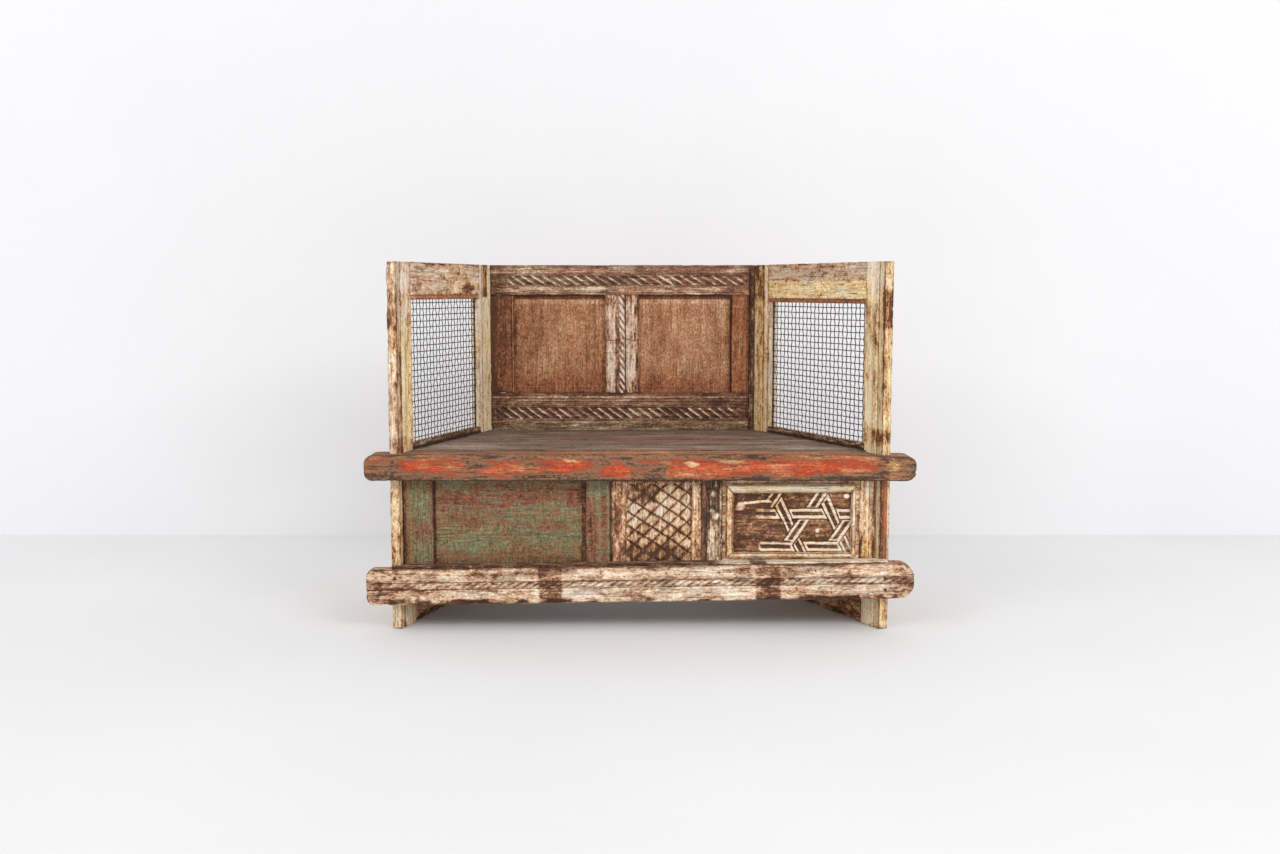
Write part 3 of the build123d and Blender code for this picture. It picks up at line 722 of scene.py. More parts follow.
    cleat_s = (SEAT_FRONT / np.cos(SPLAY[side]) + 14, REAR_RAIL_FRONT / np.cos(SPLAY[side]))
    fit_here("seat_cleat", grey, ((THICK, THICK + 22), cleat_s, (SUPPORT_TOP - 30, SUPPORT_TOP)), 1, 12, 1.5, 0.8)
    wire_mesh(side, place, near, far, low_top)


def wire_mesh(side, place, near, far, low_top):
    """Woven wires that bend over and under each other and aren't quite straight."""
    low, high = SILL[1] + 0.7, low_top - 0.7
    near, far = near + 0.7, far - 0.7
    rows = int((high - low - 2 * WIRE) / ROW_PITCH)
    columns = int((far - near - 2 * WIRE) / COLUMN_PITCH)
    first_row = (high + low - rows * ROW_PITCH) / 2
    first_column = (near + far - columns * COLUMN_PITCH) / 2
    field_seed = 211 if side == "left" else 431

    def shifted(s, z):
        """Where a crossing really lies."""
        p = np.stack([s, z, np.full_like(s, 0.5)], 1)
        moves = [1.5 * noise(p, (90, 90, 1), seed) + 0.7 * noise(p, (24, 24, 1), seed + 3) - 1.1
                 for seed in (field_seed, field_seed + 7)]
        hold = np.clip(np.minimum(np.minimum(s - near, far - s), np.minimum(z - low, high - z)) / 25, 0, 1)
        return s + moves[0] * hold, z + moves[1] * hold

    def crimped(start, end, first, pitch, phase):
        """Values along a wire, and how far it bends to either side there."""
        ahead, behind = np.arange(first, end, pitch / 4), np.arange(first, start, -pitch / 4)
        values = np.unique(np.concatenate([[start, end], ahead, behind]))
        return values, LEVEL_AT - WIRE + phase * 0.9 * WIRE * np.cos(np.pi * (values - first) / pitch)

    parts = []
    for i in range(rows + 1):
        s, t = crimped(near, far, first_column, COLUMN_PITCH, 1 if i % 2 else -1)
        s, z = shifted(s, np.full_like(s, first_row + i * ROW_PITCH))
        parts.append(wire(place(np.stack([t, s, z], 1)), WIRE / 1000))
    for j in range(columns + 1):
        z, t = crimped(low, high, first_row, ROW_PITCH, -1 if j % 2 else 1)
        s, z = shifted(np.full_like(z, first_column + j * COLUMN_PITCH), z)
        parts.append(wire(place(np.stack([t, s, z], 1)), WIRE / 1000))
    make(f"{side}_wire_mesh_woven", parts, wires, "iron_wire", [f"{side}_wire_mesh"])


for frame_side in ("left", "right"):
    side_frame(frame_side)


# ---- front rails


def round_ends(half_height, left_radius, right_radius, middle=0.0):
    """Turns the square ends of a rail into round ones, seen from the front."""

    def bend(p):
        for sign, radius in ((-1, left_radius), (1, right_radius)):
            core_x = np.minimum(sign * p[:, 0], RAIL_HALF - radius)
            core_z = np.clip(p[:, 2] - middle, -half_height + radius, half_height - radius)
            dx = sign * p[:, 0] - core_x
            dz = p[:, 2] - middle - core_z
            length = np.hypot(dx, dz)
            both = (dx > 0) & (length > 0)
            scale = np.where(both, np.maximum(np.abs(dx), np.abs(dz)) / np.maximum(length, 1e-6), 1.0)
            p[:, 0] = np.where(both, sign * (core_x + dx * scale), p[:, 0])
            p[:, 2] = np.where(both, middle + core_z + dz * scale, p[:, 2])
        return p

    return bend


def seat_rail_bend(p):
    """Round ends, and a top edge that is worn down towards them."""
    p = round_ends((SEAT - SEAT_RAIL_LOW) / 2, 22, 22, (SEAT + SEAT_RAIL_LOW) / 2)(p)
    x, high = p[:, 0], ramp(p[:, 2], 360, SEAT)
    p[:, 2] -= high * (5.5 * ramp(x, 430, 600) + 2.5 * ramp(-x, 500, 600))
    return p


def seat_rail_coat(p, n):
    x, _, z = p.T
    ragged_z = warped(p, 10.0, 40.0)[:, 2]
    front = ramp(-n[:, 1], 0.3, 0.8)
    red_level = 0.1 * band(x, -560, -20, 3) * band(ragged_z, 362, 400, 5)
    red_level += 0.36 * band(x, 60, 540, 6) * band(ragged_z - 0.02 * x, 356, 396, 4)
    red_level += patches(
        p, (-510, 388, 40, 12, 0.4), (-440, 384, 44, 15, 0.24), (-378, 384, 26, 12, -0.24), (-306, 370, 50, 18, 0.36),
        (-250, 384, 14, 16, -0.2), (-190, 379, 50, 14, 0.26), (-128, 386, 28, 10, 0.3), (-56, 375, 36, 15, 0.44),
        (-210, 360, 60, 5, -0.2), (150, 372, 50, 18, 0.12), (330, 384, 170, 13, 0.12), (250, 358, 60, 7, -0.24),
        (480, 361, 70, 9, -0.2))
    chip = patches(p, (118, 387, 17, 6, 1.0), (200, 396, 30, 3, 0.6), (-160, 398, 24, 3, 0.7), (575, 385, 18, 14, 0.5))
    level = 0.36 - 0.03 * ramp(-x, 20, 80) + 0.06 * ramp(np.abs(x), 560, 575) - 0.05 * (1 - front) + 0.3 * chip
    level += front * red_level * (1 - band(x, -22, 46, 2)) - 0.3 * (1 - ramp(z, 350, 355))
    tone = 0.1 + 0.3 * band(x, 46, 66, 5) + 0.9 * chip + 0.5 * ramp(x, 545, 575) + 0.25 * (z > 400)
    return level + 0.12 * band(z, 405, 414) * band(x, -330, 520, 40), tone


def seat_rail_cut(p):
    x, _, z = p.T
    from_ring = np.hypot(x + 545, z - 384)
    depth = groove(from_ring - 9, 2.6, 1.3) + groove(from_ring, 5, 1.0)
    depth += groove(np.hypot(x - 590, z - 386) - 11, 2.4, 0.9)
    depth += 1.4 * ramp(layered(p, (70, 20, 9), 77), 0.62, 0.7)
    return depth + groove(z - 401 - 2 * np.sin(x / 90), 2.0, 0.7)


RAIL_X = (-RAIL_HALF, RAIL_HALF)
fit("seat_front_rail", red, (RAIL_X, (RAIL_FRONT, SEAT_FRONT), (SEAT_RAIL_LOW, SEAT)), 0, 4.0, 4.0, 1.3, seat_rail_cut,
    seat_rail_coat, seat_rail_bend, {0: [(-560, -530, 1.5), (575, 605, 1.5)], 2: [(354, 408, 1.8)]})


def notches(p, more=0.0):
    """Where the lower edge of the bottom rail is worn away. more: how far bare wood reaches past it."""
    worn = ramp(layered(p, (38, 50, 60), 71), 0.48 - more / 50, 0.62 - more / 50)
    return worn * (1 - ramp(p[:, 2], -40 + more, -26 + more))


def bottom_rail_cut(p):
    x, _, z = p.T
    depth, strand = rope(x, z - 1.5, 7.0, 20.0, 22.0, 1.9)
    depth = depth * (0.35 + 0.65 * ramp(x, -440, -380))
    depth += groove(z - 9.5, 3.0, 1.9) + groove(z + 6.5, 3.0, 1.9)
    depth += 3.4 * notches(p) + 1.2 * ramp(layered(p, (60, 30, 14), 79), 0.6, 0.68)
    return depth, 0.4 * strand


def bottom_rail_coat(p, n):
    x, _, z = p.T
    bare = np.maximum(band(x, -232, -179, 2), band(x, 266, 322, 2))
    paint = 0.54 + 0.08 * band(x, -178, 262, 10) - 0.1 * band(z, -7, 10, 1) + 0.05 * (z < -8)
    paint += patches(
        p, (-590, -10, 30, 30, -0.22), (-330, -36, 60, 8, -0.2), (-420, -38, 40, 7, -0.24), (-60, -20, 60, 12, -0.12),
        (240, 30, 26, 12, -0.2), (420, 26, 90, 16, -0.08), (500, -28, 100, 14, -0.1), (590, 0, 30, 40, -0.14),
        (-540, 30, 40, 10, -0.12), (350, -28, 50, 12, 0.08), (-100, 26, 60, 12, 0.04), (-470, 26, 60, 10, 0.06))
    level = paint * (1 - bare) + (0.12 + 0.14 * (x > 0) + 0.1 * (z > 8)) * bare
    level -= 0.2 * notches(p, 1.0) + 0.14 * ramp(z, 37, 41) + 0.15 * (n[:, 1] > -0.3)
    return level, 0.5 * bare + (1 - bare) * (0.3 + 0.5 * ramp(x, 250, 400))


def ledge_coat(p, n):
    x = p[:, 0]
    return 0.34 + 0.66 * ramp(x, 150, 210) - 0.44 * band(x, 252, 289, 4), 0.7 - 0.6 * ramp(x, 150, 210)


fit("front_bottom_rail", pale, (RAIL_X, (RAIL_FRONT, FACE_AT), (-RAIL_RISE, RAIL_RISE)), 0, 4.0, 4.0, 1.3,
    bottom_rail_cut, bottom_rail_coat, round_ends(RAIL_RISE, 18, 34),
    {0: [(-RAIL_HALF + 8, RAIL_HALF - 8, 2.0)], 2: [(-RAIL_RISE, -26, 2.0), (-9, 12, 1.0)]}, place=tilted)
fit("front_ledge", gloomy, ((-570, 570), (-24, 8.5), (RAIL_RISE - 1, RAIL_RISE + 5)), 0, 5.0, 1.8, 0.4, coat=ledge_coat,
    place=tilted)


def nails():
    """Domed nail heads on both rails, and small tacks in the lower one."""
    places = [(sign * NAIL_X, z, 4.6) for sign in (-1, 1) for z in (367.5, 393.5, 98, 124)]
    tacks = (-505, -384, -318, -90, 60, 182, 207, 402, 480)
    places += [(x, RAIL_MIDDLE + TACK_RISE + np.tan(RAIL_TILT) * x, 2.2) for x in tacks]
    rings = [(1.0, 4.0), (1.0, 1.4), (0.86, 0.5), (0.5, 0.1)]  # share of the radius, and depth behind the crown
    sides = 12
    turns = np.arange(sides) * 2 * np.pi / sides
    last = (len(rings) - 1) * sides
    quads = [[a + i, a + (i + 1) % sides, a + sides + (i + 1) % sides, a + sides + i]
             for a in range(0, last, sides) for i in range(sides)]
    quads += [[last + i, last + i + 1, last + 10 - i, last + 11 - i] for i in range(5)]  # the crown
    quads += [[11 - i, 10 - i, i + 1, i] for i in range(5)]
    parts = []
    for n, (x, z, radius) in enumerate(places):
        uneven = radius * (1 + 0.08 * np.sin(3 * turns + n))
        points = [(x + r * np.cos(t) * u, RAIL_FRONT + d + 0.2 * (n % 3), z + r * np.sin(t) * u)
                  for r, d in rings for t, u in zip(turns, uneven)]
        points = in_row(np.array(points))
        parts.append((points, np.array(quads), {"grain": points.copy()}))
    make("rail_nails_worn", parts, iron, "iron", ["rail_nails"])


nails()


# ---- lower front

DEEP = (FACE_AT, 28.0)
UP = (86.4, SEAT_RAIL_LOW + LAP)
left_edge, right_edge = inner_x("left", FACE_AT), inner_x("right", FACE_AT)
stile_end = left_edge + 69.0


def fit_front(node, skin, x_range, *args, **looks):
    """A board of the lower front, which stands between the two rails."""
    fit(node, skin, (x_range, DEEP, UP), *args, **looks)


def x_of(node):
    """Both ends of a node across the front, and a little more to close the joints."""
    low, high = extent(node)[0]
    return low - 1, high + 1


def between(x0, x1, left=True, right=True, right_inset=0.0, inset=0.0):
    """Slants one or both ends of a board that runs from x0 to x1 at its face, to fit the side frames."""

    def bend(p):
        share = np.clip((p[:, 0] - x0) / (x1 - x0), 0, 1)
        move_left = inner_x("left", p[:, 1]) + inset - x0 if left else 0.0
        move_right = inner_x("right", p[:, 1]) - right_inset - inset - x1 if right else 0.0
        p[:, 0] += (1 - share) * move_left + share * move_right
        return p

    return bend


def green_coat(p, n):
    paint = 0.52 + 0.1 * band(p[:, 2], 345, 360, 4)
    paint += patches(
        p, (-438, 340, 26, 16, 0.2), (-180, 205, 90, 24, 0.16), (-370, 195, 60, 22, 0.12), (-350, 300, 90, 20, -0.2),
        (-250, 305, 60, 14, -0.16), (-150, 305, 18, 26, -0.28), (-200, 240, 34, 10, -0.16), (-440, 300, 30, 40, -0.1),
        (-250, 330, 120, 12, -0.08), (-300, 160, 160, 10, -0.1), (-230, 290, 50, 14, 0.08), (-420, 250, 60, 12, -0.08))
    return paint, 0.35 + patches(p, (-330, 300, 110, 24, 0.7), (-150, 300, 24, 30, 0.7))


def green_stile_coat(p, n):
    x = p[:, 0]
    paint = 0.53 + 0.3 * band(x, -76, -68, 2) - 0.22 * (1 - ramp(x, -546, -528))
    paint += patches(
        p, (-104, 330, 24, 26, 0.24), (-108, 215, 10, 60, -0.26), (-85, 280, 8, 60, -0.14), (-500, 225, 18, 24, -0.26),
        (-480, 190, 14, 20, 0.2), (-480, 330, 20, 14, -0.1), (-500, 300, 26, 40, 0.1))
    return paint, 0.35 + 0.5 * band(x, -130, -60, 2)


fit_front("green_left_stile", green, (left_edge, stile_end), 2, 4, 1.8, 0.8, coat=green_stile_coat,
          bend=between(left_edge, stile_end, right=False))
right_stile = x_of("green_right_stile")
field = board(((stile_end + 4.6, right_stile[0] - 8.0), (FACE_AT + 3, 24), UP), 0, 3.5, 2.4, 1.1, coat=green_coat)
tongue = board(((stile_end - 6, right_stile[0] + 6), (16, 24), UP), 0, 8, 0.8, 0.2, coat=(0.2, 0.5))
make("green_panel_worn", [field, tongue], green, "green_paint", ["green_panel"])
fit_front("green_right_stile", green, right_stile, 2, 4, 2.0, 0.9, coat=green_stile_coat)

lattice_x = x_of("lattice_board")
field_x = (lattice_x[0] + 37, lattice_x[1] - 24)
field_z = (156.4, 338.0)
LATTICE_HEIGHT = 34.0
LATTICE_SLOPES = (np.radians(34), np.radians(-45))
LATTICE_CROSSING = (field_x[0] + 77.5, field_z[0] + 100.0)


def lattice_lines(p):
    """Distance from the nearest groove of the lattice, which was cut by eye."""
    q = warped(p, 3.0, 60.0, 83)
    across, up = q[:, 0] - LATTICE_CROSSING[0], q[:, 2] - LATTICE_CROSSING[1]
    away = []
    for slope in LATTICE_SLOPES:
        off = (up + across * np.tan(slope)) / LATTICE_HEIGHT
        away.append(np.abs(off - np.round(off)) * LATTICE_HEIGHT * np.cos(slope))
    return away


def lattice_cut(p):
    x, _, z = p.T
    inside = band(x, *field_x, 1) * band(z, *field_z, 1)
    falling, rising = lattice_lines(p)
    faded = 1 - patches(p, (62, 318, 30, 22, 0.8), (70, 172, 50, 14, 0.9), (130, 172, 60, 8, 0.9), start=lattice_x[0])
    cut = np.maximum(groove(falling, 4.2, 2.6), groove(rising, 3.6, 2.0))
    depth = cut * inside * np.clip(faded, 0, 1) + 0.5 * inside
    return depth + groove(x - field_x[1] - 1, 2.6, 1.8) + groove(x - field_x[0] + 3, 2.4, 1.2)


def lattice_coat(p, n):
    x, _, z = p.T
    inside = band(x, *field_x, 2) * band(z, *field_z, 2)
    ridge = ramp(np.minimum(*lattice_lines(p)), 2.0, 7.0)
    left, right = band(x, lattice_x[0] - 5, field_x[0] - 3, 1), band(x, field_x[1] + 1, lattice_x[1] + 5, 1)
    # The top of the board, under the seat rail, is painted darker: a painted shadow of the rail.
    paint = 0.46 + inside * (0.28 * ridge - 0.06) + 0.02 * (left + right) - 0.3 * ramp(z, 341, 346)
    spots = patches(
        p, (66, 316, 34, 24, -0.36), (95, 172, 90, 24, -0.3), (90, 312, 20, 16, -0.2), (56, 250, 16, 26, 0.12),
        (130, 300, 30, 30, 0.1), (165, 206, 22, 12, 0.2), (140, 285, 34, 40, 0.1), (56, 280, 26, 18, 0.1),
        (14, 250, 8, 40, -0.14), (64, 232, 24, 14, -0.14), (12, 250, 12, 30, -0.14), (44, 190, 20, 18, -0.12),
        start=lattice_x[0])
    return paint + spots * (1 - 0.7 * right), 0.3 - 0.2 * right + 0.6 * left


fit_front("lattice_board", carved, lattice_x, 2, 4, 1.8, 0.8, lattice_cut, lattice_coat, word="carved",
          fine={0: [(field_x[0] - 6, field_x[1] + 4, 1.3)], 2: [(*field_z, 1.3)]})
# The strip behind the open joint is painted pale as painted light, so the joint, deep in shade, shows dark brown rather
# than black.
fit("joint_cover_strip", gloomy, extent("joint_cover_strip"), 2, 8, 1.5, 0.6, coat=(0.9, 0.5))
fit_front("filler_strip", brown, x_of("filler_strip"), 2, 4, 1.6, 0.8, coat=(0.36, 0.1), slot="dark_wood")


def dark_stile_cut(p):
    return groove(p[:, 0] - 183, 2.6, 1.8) + groove(p[:, 0] - 156, 2.0, 1.2)


def dark_stile_coat(p, n):
    x = p[:, 0]
    low = 1 - ramp(warped(p)[:, 2], 236, 258)
    paint = 0.16 + 0.38 * low * band(x, 156, 184, 2) + 0.36 * band(x, 183, 193, 2)
    paint += patches(p, (168, 312, 5, 6, 0.6), (164, 275, 7, 5, 0.55), (173, 262, 8, 9, 0.6))
    return paint, 0.2 + 0.6 * low


fit_front("dark_stile", gloomy, x_of("dark_stile"), 2, 3.5, 2.0, 1.1, dark_stile_cut, dark_stile_coat,
          fine={0: [(180, 186, 1.0)]})

carved_x = x_of("carved_board")
open_x = (carved_x[0] + 26.0, carved_x[1] - 20.0)
open_z = (178.5, 317.5)
STRAP_CROSSING = (open_x[0] + 116.0, open_z[0] + 89.5)
ROW_SPACING = 77.0
SLOPES = {"falling": np.radians(65), "rising": np.radians(57)}
SPACINGS = {"falling": 109.0, "rising": 103.0}  # along a row
RISING_SHIFT = 55.0
STRAP_GROOVE = 9.0
STRAP_HALVES = (13.0, 12.7, 12.4)  # half the width of a falling, a level and a rising strap
PLAIN_DEPTH, SLOT_DEPTH = 3.4, 2.4


def strapwork(p):
    """Depth of the interlaced straps, their light bars, and the darkening beside them and in their slots, as soiling
    and painted shade.
    """
    q = warped(p, 2.0, 50.0, 87)
    across, up = q[:, 0] - STRAP_CROSSING[0], q[:, 2] - STRAP_CROSSING[1]
    falling = across * np.sin(SLOPES["falling"]) + up * np.cos(SLOPES["falling"])
    rising = (across - RISING_SHIFT) * np.sin(SLOPES["rising"]) - up * np.cos(SLOPES["rising"])
    steps = {way: SPACINGS[way] * np.sin(SLOPES[way]) for way in SLOPES}
    lines = ((falling, steps["falling"]), (up, ROW_SPACING), (rising, steps["rising"]))
    away = np.array([np.abs(d - step * np.round(d / step)) for d, step in lines])
    half = np.outer(STRAP_HALVES, np.ones(len(q)))
    half[0] -= 2.5 * (1 - ramp(up, -30, 25))
    near_by = away < half + 1.6
    pick = np.argmin(away, axis=0)
    for over in range(3):
        pick = np.where(near_by[over] & near_by[(over + 1) % 3], over, pick)
    each = np.arange(len(q))
    d, half = away[pick, each], half[pick, each]
    up_here = 1 - ramp(d, half - 0.8, half + 0.6)
    slot = up_here * (1 - ramp(d, STRAP_GROOVE / 2 - 0.9, STRAP_GROOVE / 2 + 0.7))
    slot = slot * ramp(away[(pick + 2) % 3, each], half + 3, half + 6)
    light = up_here * (1 - slot) * (1 - ramp(d, half - 2.4, half - 0.6))
    dirt_and_shade = np.maximum(0.75 * slot, groove(d - half - 0.2, 3.0, 1.0))
    return PLAIN_DEPTH * (1 - up_here) + SLOT_DEPTH * slot, light, dirt_and_shade


def strap_parts(p):
    """Depth, light bars, darkening (soiling and painted shade) and extent of the sunken field, whose straps are worn
    away on the left.
    """
    x, _, z = p.T
    u = x - open_x[0]
    inside = band(x, *open_x, 0.6) * band(z, *open_z, 0.6)
    depth, light, dirt_and_shade = strapwork(p)
    kept = np.maximum.reduce([ramp(u + 0.3 * (z - 250) + 30 * (layered(p, (22, 22, 22), 9) - 0.5), 84, 96),
                              band(z, 300, 330, 4) * ramp(u, 50, 60), 0.6 * band(z, 254, 283, 2) * ramp(u, 46, 60),
                              band(z, 176, 207, 2) * ramp(u, 56, 64)])
    kept = kept * (1 - spot(x, z, 415, 230, 22, 20, 0.15) * (light < 0.5))
    trace = band(z - 2 * np.sin(x / 14), 292, 298, 0.8) * band(u, 24, 88, 3)
    knobs = np.maximum(band(x, 406, 414, 0.8) * band(z, 224, 232, 0.8), spot(x, z, 477, 309, 7, 6, 0.15))
    bare = 2.4 + 1.0 * noise(p, (20, 20, 20), 33)
    depth = (bare * (1 - kept) + depth * kept) * (1 - knobs) * (1 - 0.6 * trace) + 0.6 * knobs
    rim = 1 - band(x, open_x[0] + 3, open_x[1] - 3, 1.5) * band(z, open_z[0] + 3, open_z[1] - 3, 1.5)
    light = np.clip(light * kept + 1.5 * knobs + trace, 0, 1.5)
    dirt_and_shade = np.maximum((0.1 + 0.7 * dirt_and_shade * kept) * (1 - trace) * (1 - knobs), 0.5 * rim)
    return depth * inside, light * inside, dirt_and_shade * inside, inside


def carved_coat(p, n):
    x = p[:, 0]
    _, light, _, inside = strap_parts(p)
    level = 0.6 * (1 - inside) + inside * (0.11 + 0.12 * ramp(x, 320, 350) + 0.46 * light)
    level += patches(
        p, (229, 284, 10, 10, 0.6), (474, 206, 22, 30, 0.36), (250, 320, 30, 8, 0.12), (300, 230, 24, 14, 0.06),
        (430, 310, 40, 14, 0.1), (330, 316, 20, 10, 0.1))
    return level, 0.3 + 0.6 * inside * (1 - light) * (1 - ramp(x, 330, 380))


fit_front("carved_board", carved, carved_x, 0, 4, 1.8, 0.7, lambda p: strap_parts(p)[:3], carved_coat, word="strapwork",
          fine={0: [(open_x[0] - 2, open_x[1] + 2, 1.25)], 2: [(open_z[0] - 2, open_z[1] + 2, 1.25)]})


def moulding(name, level, ends, paint):
    """One mitred strip of the moulding, rounded over with a quirk on its inner side. ends: the widths it meets."""
    node = f"carved_{name}_moulding"
    x_range, _, z_range = extent(node)
    long_axis, short_axis = (0, 2) if level else (2, 0)
    (a, b), (c, d) = (x_range, z_range) if level else (z_range, x_range)

    def from_outside(p):
        share = (p[:, short_axis] - c) / (d - c)
        return share if name in ("bottom", "left") else 1 - share

    def profile(p):
        t = from_outside(p)
        quirks = groove((t - 0.76) * (d - c), 2.0, 1.4) + groove((t - 0.12) * (d - c), 1.6, 0.8)
        return 2.4 * ramp(np.abs(t - 0.5), 0.2, 0.5) + quirks

    def mitre(p):
        t = from_outside(p)
        share = (p[:, long_axis] - a) / (b - a)
        p[:, long_axis] = a + t * ends[0] + share * (b - a - t * (ends[0] + ends[1]))
        return p

    # The top strip takes the paler cream finish: painted light.
    fit(node, cream if name == "top" else carved, (x_range, (0.0, FACE_AT + 1), z_range), long_axis, 4, 1.6, 0.8,
        profile, (paint, 0.25), mitre, {short_axis: [(c + 1, d - 1, 1.2)]}, slot="carved_wood")


MOULDING = {"left": 20.0, "right": 12.5, "bottom": 12.5, "top": 20.5}  # widths
SIDEWAYS, UPWARDS = (MOULDING["left"], MOULDING["right"]), (MOULDING["bottom"], MOULDING["top"])
moulding("bottom", True, SIDEWAYS, 0.82)
moulding("right", False, UPWARDS, 0.78)
# The top strip gets full paint in the paler cream finish, as painted light that lifts it out of the seat rail's shadow.
moulding("top", True, SIDEWAYS, 1.1)
moulding("left", False, UPWARDS, 0.68)


def end_stile_coat(p, n):
    x, _, z = p.T
    high = ramp(z, 213, 217)
    return 0.54 + 0.1 * band(x, 508, 526, 1.5) * high - 0.36 * ramp(x, 534, 537) - 0.08 * (1 - high), 0.1 + 0.5 * high


fit_front("end_stile", cream, (x_of("end_stile")[0], right_edge), 2, 3.5, 1.8, 1.0,
          lambda p: groove(p[:, 0] - 529, 2.4, 1.8), end_stile_coat, between(530, right_edge, left=False),
          {0: [(524, 532, 1.0)]})

# orange paint down the end of the right front post, between the rails
fit("right_front_post", red, ((8, 18.5), (-0.4, 2), (130, 345)), 2, 3.5, 0.5, 0.3, word="orange_edge",
    slot="cream_paint", coat=lambda p, n: (0.36 + 0.26 * ramp(warped(p)[:, 2], 205, 226), 0.2), place=on_side("right"))


# ---- back

BACK_DEEP = (DEPTH, DEPTH + THICK)
BATTEN = 14.6
LOW_RAIL = (SEAT - 40, SEAT + 98)
HIGH_RAIL = (HEIGHT - 79, HEIGHT)
back_levels = (LOW_RAIL[1] - LAP, HIGH_RAIL[0] + LAP)
whole_x = (inner_x("left", DEPTH), inner_x("right", DEPTH))
back_x = (whole_x[0], whole_x[1] - BATTEN)
left_stile_x = (back_x[0], back_x[0] + 67)
right_stile_x = (back_x[1] - 52, back_x[1])
muntin_x = (-93.0, -3.0)
ROPE_LEAN = -26.0


def fit_back(node, skin, x_range, z_range, *args, **looks):
    """A board of the back."""
    fit(node, skin, (x_range, BACK_DEEP, z_range), *args, **looks)


def curl(x, z, cx, cz, radius):
    """A small carved rosette: two rings and petals."""
    d = np.hypot(x - cx, z - cz)
    petals = groove(np.sin(3 * np.arctan2(z - cz, x - cx)) * d, 3.0, 1.2) * (d < 0.8 * radius)
    return (groove(d - radius, 3.0, 1.7) + groove(d - 0.4 * radius, 2.4, 1.0) + petals) * (d < radius + 3)


def worn_rope(p, u, v, half, period, lean, depth, seed, lit=(0.93, 0.99)):
    """A rope whose bright strokes fade here and there. lit: where on a strand a stroke begins."""
    bend = 0.22 * period * np.sin(np.pi * v / (2 * half))
    cut, strand = rope(u + bend, v, half, period, lean, depth)
    fade = ramp(layered(p, (34, 34, 34), seed), 0.36, 0.56)
    return cut, ramp(strand, *lit) * (0.3 + 0.7 * fade)


def top_rail_cut(p):
    x, _, z = p.T
    depth, strand = worn_rope(p, x, z - 806.5, 13.0, 28.0, ROPE_LEAN, 2.6, 141)
    kept = band(x, back_x[0] + 50, back_x[1] - 12, 4)
    depth = depth * kept + grooves(z, (822.5, 3.0, 2.2), (838.5, 2.4, 0.9), (774, 2.4, 1.1))
    depth += groove(z - 791.4, 3.0, 1.8) * band(x, back_x[0] + 60, back_x[1] - 70, 20)
    depth += curl(x, z, back_x[0] + 28, 802, 15) + 0.8 * curl(x, z, back_x[1] - 40, 781, 9)
    return depth, strand * kept


def top_rail_coat(p, n):
    x, _, z = p.T
    rope_here = band(z, 793, 820, 2)
    paint = 0.44 - 0.08 * rope_here + 0.24 * top_rail_cut(p)[1] * (n[:, 1] < -0.3) + 0.1 * band(z, 768, 791, 2)
    paint += patches(
        p, (-115, 781, 32, 8, 0.3), (-250, 828, 50, 5, 0.16), (120, 832, 40, 6, 0.08), (60, 782, 50, 6, 0.1))
    # The left end, in the corner with the left side frame, is painted darker as painted shade.
    return paint - 0.2 * (1 - ramp(x, back_x[0] + 30, back_x[0] + 50)), 0.1 + 0.6 * rope_here * (x < 0)


fit_back("back_top_rail", brown, back_x, HIGH_RAIL, 0, 4, 2.2, 1.2, top_rail_cut, top_rail_coat,
         between(*back_x, right_inset=BATTEN), {0: [(back_x[0] + 8, back_x[1] - 8, 1.8)], 2: [(770, 842, 1.4)]},
         word="carved")


def low_rail_cut(p):
    x, _, z = p.T
    depth, strand = worn_rope(p, x, z - 456, 15.0, 26.7, ROPE_LEAN, 2.8, 151)
    kept = band(x, back_x[0] + 14, back_x[1] - 24, 4)
    depth = depth * kept + grooves(z, (474.5, 2.8, 1.8), (436.5, 2.8, 1.6), (486, 2.8, 1.8), (493, 2.2, 1.4))
    depth += groove(z - 502, 2.4, 1.6)
    depth += 0.8 * (curl(x, z, back_x[1] - 16, 446, 10) + curl(x, z, back_x[0] + 18, 430, 9))
    return depth, strand * kept


def low_rail_coat(p, n):
    x, _, z = p.T
    paint = 0.36 - 0.02 * band(z, 440, 473, 2) + 0.34 * low_rail_cut(p)[1] * (n[:, 1] < -0.3)
    paint += 0.2 * band(z, 487.5, 491.5, 1) + 0.22 * band(z, 496, 500, 1) + 0.16 * band(z, 429, 434, 1)
    # The left end, in the corner with the left side frame, is painted darker as painted shade.
    return paint - 0.14 * (1 - ramp(x, back_x[0] + 14, back_x[0] + 50)), 0.15 + 0.75 * (z < 436)


fit_back("back_bottom_rail", brown, back_x, LOW_RAIL, 0, 4, 2.0, 1.1, low_rail_cut, low_rail_coat,
         between(*back_x, right_inset=BATTEN), {0: [(back_x[0] + 6, back_x[1] - 6, 1.8)], 2: [(424, 508, 1.4)]},
         word="carved")


def left_stile_cut(p):
    return grooves(p[:, 0] - left_stile_x[1], (-11, 2.6, 1.8), (-5, 2.0, 1.2), (-55, 3, 0.8))


def left_stile_coat(p, n):
    x = p[:, 0] - left_stile_x[0]
    # Dark paint, darker still towards the corner with the left side frame as painted shade, with two pale lines.
    return 0.18 - 0.2 * (1 - ramp(x, 10, 22)) + 0.26 * band(x, 58, 61, 0.8) + 0.2 * band(x, 64, 67, 0.8), 0.2


def right_stile_cut(p):
    return grooves(p[:, 0], (right_stile_x[1] - 6, 2.6, 1.2), (right_stile_x[0] + 3.5, 6.5, 5.0))


def right_stile_coat(p, n):
    x = p[:, 0] - right_stile_x[0]
    return 0.38 + 0.16 * band(x, 8, 10.5, 0.8) - 0.1 * band(x, 46, 60, 1), 0.75


